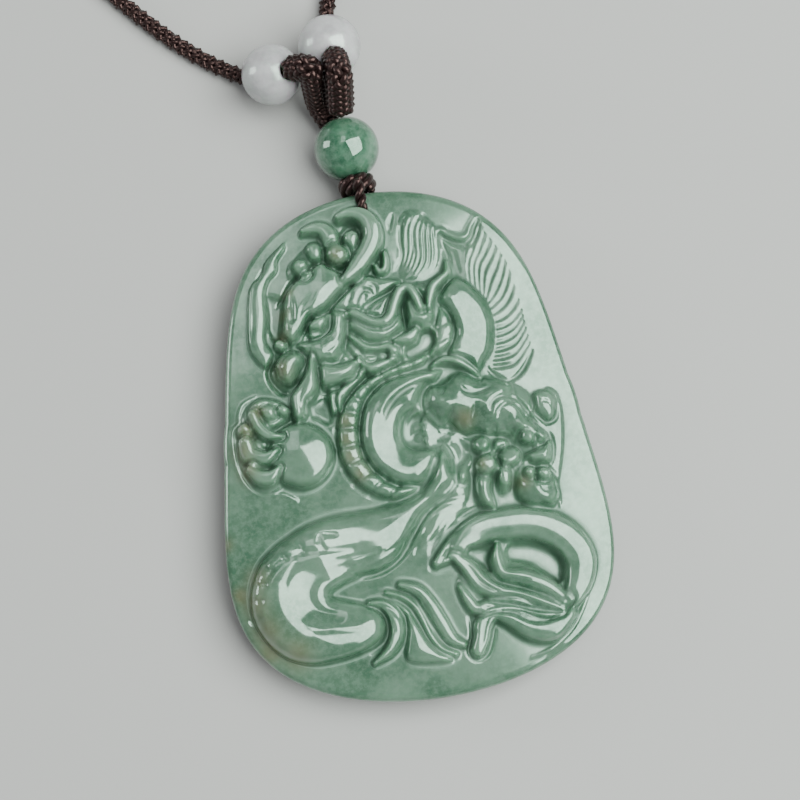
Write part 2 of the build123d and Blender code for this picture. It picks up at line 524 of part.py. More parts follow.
def braid(starts, radii, place, diameter, direction, name):
    """A short thick braid that rises from the green bead and bends down into a white bead."""
    across = Vector(axis.Y, -axis.X, 0)
    points = [green_bead_place + across * side + axis * ahead + Vector(0, 0, up)
              for side, ahead, up in starts]
    end = place - direction * (diameter / 2 + 1.5 * fit_gap)
    points += [end - direction * braid_reach, end]
    return tube(points, radii, braid_diameter, name)


def cord_exit(place, direction):
    """Where the line through a white bead meets the height at which the neck cord lies."""
    return place + direction * ((place.Z - neck_cord_diameter / 2) / -direction.Z)


def neck_cord(left_place, left_direction, right_place, right_direction):
    """The neck cord, threaded through both white beads and laid in one plain loop."""
    floor = neck_cord_diameter / 2
    points = [left_place - left_direction * (left_bead_diameter / 2)]
    points.append(cord_exit(left_place, left_direction))
    points += [Vector(x, y, floor) for x, y in neck_route]
    points.append(cord_exit(right_place, right_direction))
    points.append(right_place - right_direction * (right_bead_diameter / 2))
    radii = [run_radius(points, corner) for corner in range(1, len(points) - 1)]
    radii[0] = radii[-1] = exit_bend_radius
    return tube(points, radii, neck_cord_diameter, "neck_cord")


left_place = bead_place(left_bead_offset, left_bead_diameter)
right_place = bead_place(right_bead_offset, right_bead_diameter)
left_direction = bead_direction(left_bead_heading)
right_direction = bead_direction(right_bead_heading)
neck_bore = neck_cord_diameter + 2 * fit_gap
green_bore = core_cord_diameter + 2 * fit_gap

nodes = {
    "jade_plaque": jade_plaque(),
    "hanging_cord": hanging_cord(),
    "cord_knot": cord_knot(),
    "green_bead": drilled_bead(green_bead_place, green_bead_diameter, green_bore, axis),
    "left_braid": braid(left_braid_start, left_braid_radii, left_place, left_bead_diameter,
                        left_direction, "left_braid"),
    "right_braid": braid(right_braid_start, right_braid_radii, right_place, right_bead_diameter,
                         right_direction, "right_braid"),
    "left_white_bead": drilled_bead(left_place, left_bead_diameter, neck_bore, left_direction),
    "right_white_bead": drilled_bead(right_place, right_bead_diameter, neck_bore, right_direction),
    "neck_cord": neck_cord(left_place, left_direction, right_place, right_direction),
}

os.makedirs("parts", exist_ok=True)
for name, node in nodes.items():
    export_step(node, f"parts/{name}.step")
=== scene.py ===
"""Looks of the jade dragon pendant: polished carved jade, round beads and braided cord on a pale floor.

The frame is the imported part's: its flat back lies on Z = 0, the carved face is up and the narrow end
points to +Y. Tables and sizes are millimetres unless a comment says otherwise; meshes are metres.
"""
import math
from collections import namedtuple

import bpy
import numpy as np
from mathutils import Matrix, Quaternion, Vector


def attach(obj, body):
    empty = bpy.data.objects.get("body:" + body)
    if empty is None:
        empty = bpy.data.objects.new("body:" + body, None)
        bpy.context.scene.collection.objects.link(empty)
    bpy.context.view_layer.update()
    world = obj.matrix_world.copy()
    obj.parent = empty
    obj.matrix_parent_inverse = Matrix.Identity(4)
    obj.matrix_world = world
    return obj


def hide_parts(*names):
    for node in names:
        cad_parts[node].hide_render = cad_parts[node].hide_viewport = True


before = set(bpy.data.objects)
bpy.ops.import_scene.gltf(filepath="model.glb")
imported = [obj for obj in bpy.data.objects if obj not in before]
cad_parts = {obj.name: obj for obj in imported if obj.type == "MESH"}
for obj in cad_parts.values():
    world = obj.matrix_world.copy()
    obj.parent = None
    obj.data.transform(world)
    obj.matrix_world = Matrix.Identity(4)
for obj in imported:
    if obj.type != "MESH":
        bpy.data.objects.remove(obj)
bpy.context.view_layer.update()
MM = 0.001

# Plaque, as in the part's source
plaque_width = 45.0
plaque_height = 60.4
plaque_thickness = 5.5
relief_height = 2.7
front_bevel = 0.8
back_bevel = 0.6
rim_rise = 1.8
rim_rise_width = 9.0
outline_taper = 0.21
upper_squareness = 5.3
lower_squareness = 3.7
edge_line_width = 0.25
edge_line_share = 0.35
hole_diameter = 1.7
hole_from_tip = 2.15
hole_side = -0.6

# Cords, knot and beads, as in the part's source
loop_cord_diameter = 1.3
core_cord_diameter = 2.0
braid_diameter = 3.3
neck_cord_diameter = 2.2
fit_gap = 0.1
knot_diameter = 4.6
knot_length = 1.9
knot_from_edge = 0.3
green_bead_diameter = 7.8
left_bead_diameter = 7.3
right_bead_diameter = 7.6
axis_height = 3.95
axis_lean = 7.0
fork_gap = 1.6
left_braid_start = [(-0.75, 4.3, -1.8), (-1.7, 6.5, -1.7)]
right_braid_start = [(0.55, 4.3, 1.85)]
left_bead_offset = (-6.9, 4.8)
right_bead_offset = (0.5, 7.25)
bead_tilt = 50.0
bead_lift = 1.2
left_bead_heading = 165.0
right_bead_heading = 97.0
braid_reach = 3.8
neck_route = [
    (-20.5, 53.5), (-32, 67), (-48, 90), (-65, 122), (-76, 160), (-78, 201), (-65, 240), (-36, 267),
    (3, 276), (41, 265), (69, 238), (80, 200), (77, 160), (62, 125), (41, 98), (22, 80), (8, 68),
    (0.5, 60),
]

# Finer shape of the carving, which the part's facets leave out
dome_slope = 0.25
edge_share = 0.5
edge_softness = 1.2
least_edge = 0.4
cut_depth_share = 0.75
cut_width_share = 1.3
facet_footing = 0.8

# The carving's grid, its passes of smoothing, and the depths in millimetres at which a mask is full
columns = 256
rows = 300
carving_passes = 5
# The hollow mask from these passes and depth sets the jade's painted shade in hollows and painted
# highlight on raised parts
hollow_passes = 40
hollow_full = 0.7
crease_passes = 8
crease_spread = 2
crease_full = 0.08

# Mouths of the cord hole and of the beads' bores, and how far the hole's cutter reaches past the plaque
hole_flare = 0.2
hole_flare_depth = 0.25
hole_flare_rise = 0.05
cutter_below = 1.0
cutter_above = 2.0
hole_sides = 48
bead_lip = 0.18
bead_sides = 96
bead_rings = 64

# Strands. A braid's strand is a share of the braid's diameter; its inset, swing and fullness are shares
# of the strand, and a ply's fullness is a share of the ply. Ends are rounded off over a few points.
strand_share = 0.215
strand_inset = 1.05
strand_swing = 0.55
strand_fullness = 1.25
ply_fullness = 1.15
least_radius = 0.001
taper_points = 3

# Strands wrapped over the knot. The turn is radians each way, and the bend and reach are shares.
wrap_count = 7
wrap_points = 33
wrap_sides = 14
wrap_radius = 0.5
wrap_inset = 0.46
wrap_turn = 0.95
wrap_bend = 0.9
wrap_reach = 0.8
core_start = 0.3
core_stop = 0.15

# How far the thin cord stands off the plaque's face and back, and where it bends over the edge
cord_above = 0.2
cord_below = 0.05
cord_bend = 0.6
cord_slant = 0.1

# The carving. Lengths across are hundredths of the plaque's half width and lengths up are hundredths
# of its half height. A crest is a share of relief_height, below zero for a hollow. A form is a ridge
# along a line: each point is x, y and half width, and its squareness shapes the section (2 is round,
# more is flatter on top). A patch fills a closed outline of x and y and rounds off over its edge, in
# millimetres. Later rows lie over earlier ones.
Form = namedtuple("Form", "name crest squareness line")
Patch = namedtuple("Patch", "name crest edge outline")

# Low rounded masses that the carving stands on
masses = [
    Form("head mass", 0.44, 2.5, [(-46, 46, 9), (-25, 50, 17), (0, 50, 20), (24, 50, 14), (33, 50, 7)]),
    Form("crown mass", 0.22, 2.5, [(-40, 72, 7), (-27, 76, 10), (-10, 77, 10)]),
    Form("jaw mass", 0.42, 2.5, [(-44, 33, 9), (-20, 36, 13), (5, 38, 13), (26, 38, 12)]),
    Form("mane mass", 0.16, 2.0, [(20, 62, 10), (24, 70, 12), (25, 78, 11), (22, 85, 7)]),
    Form("fin mass", 0.03, 2.5, [(50, 72, 8), (57, 63, 11), (62, 50, 12), (63, 36, 12), (61, 24, 9)]),
    Form("shoulder mass", 0.50, 2.5, [(16, 8, 15), (36, 8, 18), (55, 3, 17), (66, -6, 12)]),
    Form("paw mass", 0.42, 2.5, [(34, -12, 8), (48, -14, 13), (66, -18, 13)]),
    Form("flank mass", 0.42, 2.5, [(22, -8, 12), (14, -24, 15), (0, -33, 12)]),
    Form("left paw mass", 0.50, 2.5, [(-70, 15, 12), (-74, 2, 12), (-72, -6, 10)]),
    Form("tuft mass", 0.36, 2.5, [(24, -60, 9), (42, -63, 13), (62, -68, 14)]),
]

carving = [
    # Flame, mane pocket and neck
    Patch("flame ribbon", 0.38, 0.9, [
        (-46, 84), (-51, 81.5), (-58, 77), (-61, 72.5), (-67, 68.5), (-69.5, 62), (-72, 50), (-71.5, 42),
        (-65, 35.5), (-60, 40), (-63, 46), (-61, 55), (-60, 64), (-57, 69.5), (-52, 73), (-51, 77),
        (-45.5, 82)]),
    Patch("flame hollow", -0.18, 0.5, [
        (-60, 64), (-54, 63), (-50.5, 62), (-52, 57), (-54.5, 50), (-56, 45.5), (-58, 45), (-61, 50),
        (-60, 57)]),
    Patch("mane pocket", -0.04, 0.5, [
        (37, 78), (39.5, 75.5), (44, 74), (49.5, 73), (49, 70.5), (47.3, 67), (45.5, 59), (41.5, 59.5),
        (38.5, 62), (38, 68)]),
    Patch("neck", 0.74, 2.2, [
        (29, 51), (31, 55), (38, 60), (44, 58.5), (49.5, 54), (53.5, 48.5), (55.7, 42), (55.2, 36),
        (53, 30), (49, 25), (44, 20.5), (38, 25), (30, 29.3), (32, 34), (34.7, 39), (33.5, 45.8)]),
    Patch("neck scales", 0.50, 1.0, [
        (20, 30.6), (25.5, 31.3), (31.3, 33.4), (34.4, 37.5), (34.4, 42), (32.5, 46.5), (28.8, 49.2),
        (26, 44), (25, 38), (21, 34)]),
    Form("nape blade", 0.66, 2.2, [
        (20.5, 26.3, 1), (25, 27.8, 2), (30, 27.8, 2.4), (36, 25.8, 2.4), (41, 22.5, 2),
        (44.5, 19.8, 1)]),
    # Body
    Patch("lower coil", 0.84, 3.6, [
        (4, -21), (-18, -24.3), (-40, -25), (-55, -27), (-66, -30.3), (-76, -34.5), (-84, -40),
        (-89.5, -48), (-91, -56), (-89, -64), (-83, -72), (-74, -78), (-62, -81), (-48, -80.7),
        (-36, -79), (-28, -76), (-23.5, -71), (-23.5, -66), (-27, -62), (-33, -59.8), (-42, -57.5),
        (-48, -55.3), (-42, -52.5), (-32, -50.6), (-22, -49.4), (-13, -46.5), (-6, -41), (1, -34),
        (8, -28.5), (16, -25), (23, -20), (24, -12), (20, -5), (13, -8), (9, -15)]),
    Patch("body turn", 0.78, 3.0, [
        (26, 24.5), (16, 25.5), (5, 25.3), (-4, 24), (-11, 21), (-17, 16.5), (-20.5, 10.5), (-22.3, 4),
        (-22, -3), (-19, -9), (-14, -13.5), (-7, -17.5), (1, -19), (8, -18), (14, -13), (17, -6),
        (9, -4.5), (4, -3.5), (0.5, -0.5), (0.5, 4), (3, 8), (8, 10), (11, 9), (12, 14), (16, 19),
        (22, 20.5)]),
    Patch("belly scales", 0.58, 1.5, [
        (20, 31.5), (10, 30), (0, 29), (-9, 27), (-17, 24), (-25, 19.5), (-30.5, 14.5), (-33.5, 6),
        (-34, -2), (-31.5, -9), (-26, -15.5), (-18, -20.5), (-8, -23), (3, -20.5), (3, -19), (-7, -17.5),
        (-14, -13.5), (-19, -9), (-22, -3), (-22.3, 4), (-20.5, 10.5), (-17, 16.5), (-11, 21), (-4, 24),
        (8, 26), (18, 28.5)]),
    # Folds and cloud under the body
    Form("inner fold", 0.50, 2.5, [
        (-30, -60.5, 1.5), (-23, -62, 2.8), (-18.5, -66.5, 3.8), (-18, -73.5, 4), (-23, -79.5, 3.2),
        (-32, -83.5, 1.2)]),
    Patch("cloud", 0.36, 1.2, [
        (-20, -59.5), (-12, -64), (-9, -68), (-6, -73), (-3, -78), (2, -82), (8, -86.5), (0, -87),
        (-12, -85.5), (-16, -83), (-14.5, -78), (-12.5, -72), (-13, -66)]),
    Form("outer fold", 0.46, 2.5, [
        (-13, -55.5, 2), (-5, -58.5, 3.5), (0, -64.5, 4.2), (4.5, -72, 4.2), (8.5, -78.5, 3.6),
        (14.5, -81.5, 1.8)]),
    Form("fold wave", 0.30, 2.0, [
        (-21, -57.5, 1.2), (-12, -60, 2.2), (-6, -64.5, 2.6), (-3, -70, 2.6), (-0.5, -76, 2.6),
        (4, -81.5, 2.4), (10, -84.5, 1.6)]),
    # Tail and its tuft
    Form("tail ring", 0.68, 2.8, [
        (7, -49.5, 2.5), (17, -45, 6), (30, -39.5, 8), (45, -38.5, 8.5), (60, -40, 9), (73, -46, 9.5),
        (80, -55, 9), (78, -64, 7.5), (72, -71, 5)]),
    Form("tail window", -0.38, 5.0, [(48, -49.5, 5), (58, -51.5, 6), (65, -56, 6.5), (66.5, -61, 4)]),
    Form("tail window slit", -0.20, 5.0, [(26, -47.5, 3), (33, -50, 5), (34.5, -54, 2.5)]),
    Form("tuft lowest", 0.66, 2.0, [
        (21, -84.5, 4), (24, -80, 4.5), (26, -75, 5), (32, -71.5, 4.5), (40, -73.5, 6), (50, -79, 7),
        (60, -80.5, 7), (69, -76, 5)]),
    Form("tuft low", 0.60, 2.0, [
        (17, -59.5, 1.5), (20, -65, 3), (24, -69, 3.5), (33, -68, 4), (43, -69.5, 4), (54, -74, 4),
        (66, -74, 3)]),
    Form("tuft high", 0.66, 2.0, [
        (15, -47.5, 1.8), (22, -52, 4.5), (27, -58, 5.5), (34, -63, 5.5), (44, -66, 4.5),
        (56, -69.5, 4.5), (67, -72.5, 3)]),
    Form("tuft upper", 0.60, 2.0, [
        (39, -46, 1.5), (37.5, -52, 3.5), (40, -57.5, 4), (50, -60, 5), (61, -64.5, 5), (70, -71, 3)]),
    # Scroll, right arm and its paws
    Patch("scroll hollow", -0.05, 0.6, [
        (11.5, 9), (15, 6), (18.7, 2), (18.7, 0.3), (14.5, -3.2), (9, -4), (4, -2.5), (2, 1.5), (3.5, 6),
        (7.5, 9)]),
    Form("scroll", 0.24, 2.0, [(16.5, -2.5, 6), (18, 0.5, 9), (16, 5, 6)]),
    Patch("hand panel", 0.24, 1.0, [
        (77, 11.5), (82, 10), (84, 6), (84, -2), (82, -11.5), (79.5, -18.5), (76.5, -26), (76.5, -32),
        (74.5, -35), (72, -28), (72, -18), (66, -12), (66, 0), (70, 5)]),
    Patch("side curl", 0.54, 1.8, [
        (69.5, 9), (73, 10.8), (78, 10.3), (81.3, 7), (81.2, 3.3), (79.5, -0.5), (75.5, -1.8),
        (71.5, 0.4), (69, 3.7)]),
    Patch("upper arm", 0.92, 4.4, [
        (15.5, 18), (13.5, 14.5), (13, 10), (15, 6.5), (19, 3), (22.5, 2), (25.5, 1), (29, -1.2),
        (33, -3.4), (38, -3), (44, -4.3), (49, -5.4), (54, -6), (56.5, -8.3), (59, -11), (61, -11.2),
        (65, -10.3), (68, -8.8), (71, -10), (75.3, -8.6), (74, -6.3), (69.5, -2.3), (66.3, 1.5),
        (63.2, 5.8), (60.3, 10.5), (60, 15), (54, 18.2), (47.5, 20), (43.5, 19.6), (40, 21.7), (35, 23),
        (30, 22), (26.3, 20), (23.5, 19), (21, 19.3), (17.5, 19.1)]),
    Patch("wrist", 0.80, 2.0, [
        (60, -13.5), (66.5, -11.5), (71, -10.5), (75, -8.6), (75.5, -12.5), (73.3, -17.5), (69, -18.1),
        (62, -16.7)]),
    Form("knuckle", 0.9, 2.0, [(62.8, -7, 3.7), (63.3, -7.2, 3.7)]),
    Patch("thumb claw", 0.45, 1.4, [
        (34, -9.6), (30.4, -11.4), (26.7, -12.7), (24.5, -16), (24.5, -19.4), (26.5, -21), (29.3, -19.4),
        (31.3, -16.2), (33.5, -12.5)]),
    Patch("middle paw", 0.62, 2.0, [
        (34, -7.5), (37, -3.5), (42, -4), (47, -5.5), (53, -7.5), (57, -11), (58, -14), (54, -18),
        (52.5, -22), (50, -26), (45, -26), (42.5, -20), (35, -17)]),
    Form("knuckle", 0.80, 2.0, [(48.5, -18.3, 3.9), (48.2, -22.3, 3.6)]),
    Form("knuckle", 0.78, 2.0, [(49, -7.9, 4), (50, -8.3, 4)]),
    Form("knuckle", 0.88, 2.0, [(38.7, -6.8, 4.9), (39.5, -6.7, 4.9)]),
    Form("knuckle", 0.92, 2.0, [(52.4, -13.2, 5.8), (53.8, -13, 5.4)]),
    Patch("middle claw", 0.84, 2.6, [
        (34.5, -17), (32.5, -23), (33, -28), (35, -31), (39.5, -32.3), (42, -32.4), (42, -29.3),
        (41.3, -24.7), (42.7, -19.5), (40, -17)]),
    Form("knuckle", 0.98, 2.0, [(39.9, -15.2, 6.1), (40.7, -15.1, 6.1)]),
    Patch("right paw", 0.88, 4.4, [
        (59.7, -17.6), (56, -19), (53.4, -22.2), (52.7, -27), (55, -31.2), (59.6, -33.8), (66.8, -34.7),
        (71.4, -34.6), (75.3, -31), (75.5, -26.2), (74, -21.6), (68.7, -18.8)]),
    Form("knuckle", 1.02, 2.0, [(61.4, -20.7, 3.4), (62, -20.8, 3.4)]),
    Form("knuckle", 1.02, 2.0, [(68.2, -21.9, 4), (68.8, -22, 4)]),
    # Head
    Patch("crown", 0.55, 0.8, [
        (-28, 54.5), (-22, 58.5), (-14, 63), (-9, 66.5), (-2, 65), (6, 63), (12, 61.5), (4, 58),
        (-4, 55.5), (-11.5, 51), (-17, 52), (-23, 52.5)]),
    Patch("cheek back", 0.82, 3.4, [
        (10.3, 43.8), (14.7, 41.8), (19.7, 41), (24.7, 42.7), (27.3, 46.4), (28.6, 50.5), (27, 55),
        (24, 51.5), (20, 53), (17.5, 58), (13, 59), (11, 55), (10.3, 49)]),
    Patch("cheek front", 0.86, 3.0, [
        (-19.5, 45), (-17, 42.8), (-14.5, 40.2), (-10.3, 38.4), (-4.5, 37.4), (0.5, 38), (5.5, 40.6),
        (9.3, 43), (10, 48), (9, 54), (5, 51), (0, 47.5), (-7, 48.5), (-13, 51), (-19, 51.5),
        (-20.5, 48)]),
    Form("brow ribbon", 0.96, 2.0, [
        (-19, 51.3, 2), (-15, 50.7, 3), (-9, 47.5, 3), (-4.5, 46, 3), (0, 46, 3.2), (3.5, 48.3, 3.2),
        (6.5, 53, 3.2), (10, 57.2, 3.2), (14.5, 57.8, 3.2), (17.5, 54, 3.2), (19.5, 49.5, 3)]),
    Form("brow ribbon end", 0.80, 2.0, [
        (23.5, 49, 2), (25, 53, 2.8), (27.5, 57, 3), (31.5, 59.3, 2.6), (36, 62, 2.2), (37, 67, 1)]),
    Form("lip corner", 0.76, 2.0, [
        (-19.3, 43, 1.2), (-16, 40, 2.2), (-12, 37.2, 2.4), (-6, 36.2, 2.2), (-0.5, 36.3, 2.6),
        (2.3, 34, 3.2), (0.5, 31.8, 2.4)]),
    Form("lower lip", 0.70, 2.0, [
        (-16.3, 33.5, 2), (-15, 30, 3.2), (-10.5, 28.8, 3.2), (-4, 29.8, 2.8), (3, 31, 1.5)]),
    Form("lip lobe", 0.66, 2.0, [(3.5, 38.3, 1.5), (8, 38.3, 3), (12, 39.3, 3.6), (15, 41.3, 2.2)]),
    Patch("jaw pit", -0.12, 0.4, [
        (8, 34.6), (14.7, 36.7), (17, 39.8), (20.5, 41), (23.8, 40), (24.3, 36.3), (21, 33.4),
        (13.8, 31.7), (9.5, 31.6), (7.6, 33)]),
    Patch("beard root", 0.46, 0.5, [
        (-35, 23.5), (-30, 24), (-27, 22.5), (-30, 17.5), (-31, 14), (-34.5, 14), (-35, 18)]),
    Form("beard", 0.62, 2.0, [
        (-16, 28, 2), (-20.5, 25.6, 2.6), (-25.5, 22.6, 2.8), (-29, 19, 2.6), (-30.3, 14.5, 1)]),
    Patch("upper lip", 0.86, 2.2, [
        (-47.8, 42.4), (-42, 43.5), (-35.3, 44.6), (-30.3, 46.4), (-28.5, 50), (-27.5, 54), (-22, 53.5),
        (-19, 52), (-20, 46), (-21.6, 41.5), (-23.5, 38), (-27, 34.2), (-31, 33.4), (-38.7, 34),
        (-43, 36.8)]),
    Patch("lower jaw", 0.84, 2.0, [
        (-38.3, 32.5), (-34.5, 33.7), (-30.3, 32.8), (-25.3, 32.8), (-20.3, 33.5), (-15.6, 34.4),
        (-17, 30.5), (-19.5, 27.2), (-25, 25.2), (-31, 24), (-37, 24.3), (-39, 27.5)]),
    Patch("eye socket", 0.74, 1.2, [
        (-42, 47.5), (-38, 51.5), (-31, 53.5), (-28, 53), (-27.8, 49), (-31, 45.3), (-36, 43.8),
        (-41, 44)]),
    Form("eye", 0.92, 2.0, [(-37.5, 48.3, 3), (-35, 49, 4.2), (-33, 49.8, 3.4)]),
    Patch("snout", 0.98, 1.7, [
        (-50, 62.5), (-45, 67), (-36, 71), (-28, 73.5), (-21, 69.5), (-15, 63), (-22, 58.8), (-29, 54.3),
        (-35, 52), (-38.5, 51.3), (-44, 45.8), (-49, 43), (-53.2, 45), (-54, 49), (-52, 55)]),
    Patch("nose", 0.94, 3.2, [
        (-61, 35.3), (-56.5, 39.8), (-50.3, 41), (-45.5, 39.5), (-44, 36), (-47, 32.5), (-50.3, 28.8),
        (-54, 27), (-58, 28.3), (-60.8, 31.5)]),
    Form("nose bead", 0.66, 2.0, [(-56.2, 43.6, 3), (-55.4, 43, 3)]),
    Patch("tongue", 0.92, 1.9, [
        (-42.8, 36.5), (-45.3, 31.5), (-49.5, 27.2), (-54.3, 23.5), (-55.3, 19), (-55.3, 14.5),
        (-53, 11.8), (-50, 12.3), (-47, 15), (-45.8, 18.8), (-42, 21), (-39, 24.7), (-38.5, 30),
        (-38.8, 36), (-41, 38.3)]),
    Patch("throat hollow", -0.14, 0.4, [
        (-46, 18), (-41, 19.8), (-37.5, 21.2), (-35.6, 19), (-34.6, 16), (-35.3, 11), (-38.5, 10.6),
        (-42, 12.5), (-46, 14.5)]),
    # Horns and ear
    Form("horn knob low", 0.70, 2.0, [(-39.5, 73, 4.8), (-38, 69.5, 3.8)]),
    Form("horn knob middle", 0.62, 2.0, [(-31.5, 78.8, 4.7), (-31, 77, 4.3)]),
    Form("small horn", 0.64, 2.2, [
        (-35.5, 87, 2), (-31, 87.5, 3.2), (-26, 87, 4.2), (-22.5, 84, 5), (-21.5, 80, 5)]),
    Form("horn knob upper", 0.70, 2.0, [(-11, 81.5, 4.8), (-12, 77, 4), (-14, 73, 3)]),
    Form("horn knob front", 0.86, 2.0, [(-19.8, 75.8, 6.4), (-19.5, 75.3, 6.4)]),
    Form("great horn", 0.94, 2.2, [
        (-16, 90, 2.5), (-11, 91, 3.5), (-5, 90, 4.6), (-0.5, 86.5, 5.5), (0.5, 81, 6), (-2.5, 76, 6),
        (-8, 71, 5.5), (-13, 67, 5), (-17, 65, 3.2)]),
    Form("ear", 0.58, 2.0, [
        (5.2, 74, 1.6), (5.2, 70.5, 2.2), (4, 67.2, 2.2), (1, 66.6, 2.2), (-0.5, 69, 1.8)]),
    # Pearl and left paw
    Form("pearl", 0.94, 4.0, [(-54.5, -0.3, 17.5), (-53.5, -0.7, 17.5)]),
    Patch("left paw", 0.82, 2.2, [
        (-78, 15), (-78.5, 19), (-74.5, 23), (-69.5, 24), (-62, 22.3), (-57.5, 19.5), (-56.2, 15),
        (-60, 12.5), (-66, 10.5), (-72, 11)]),
    Form("knuckle", 1.0, 2.0, [(-67, 17.5, 4.2), (-66, 17.2, 4.2)]),
    Form("knuckle", 0.98, 2.0, [(-59.5, 17.5, 3.2), (-59, 17.2, 3.2)]),
    Form("knuckle", 0.86, 2.0, [(-80, 12, 4.6), (-79.5, 11.5, 4.6)]),
    Form("first claw", 1.04, 2.0, [(-75, 17.5, 3), (-73, 12.5, 3.6), (-68.5, 8.6, 3.4), (-62, 7.3, 1.6)]),
    Form("second claw", 1.04, 2.0, [(-80.5, 7, 4.4), (-79, 2, 5.4), (-72, 0, 4.6), (-65, 2.2, 1.8)]),
    Form("third claw", 0.98, 2.0, [
        (-79.5, -3.5, 3.6), (-75, -7, 5), (-70, -7.3, 4.4), (-65.3, -4.5, 1.6)]),
]

# Fine cuts over the forms. Depth is millimetres, below zero for a raised line, and is full where the
# line is widest. Points are x, y and half width in hundredths, as in the forms' table.
Cut = namedtuple("Cut", "name depth line")


def alike(name, depth, lines):
    """A cut along each of several lines, all as deep."""
    return [Cut(name, depth, line) for line in lines]


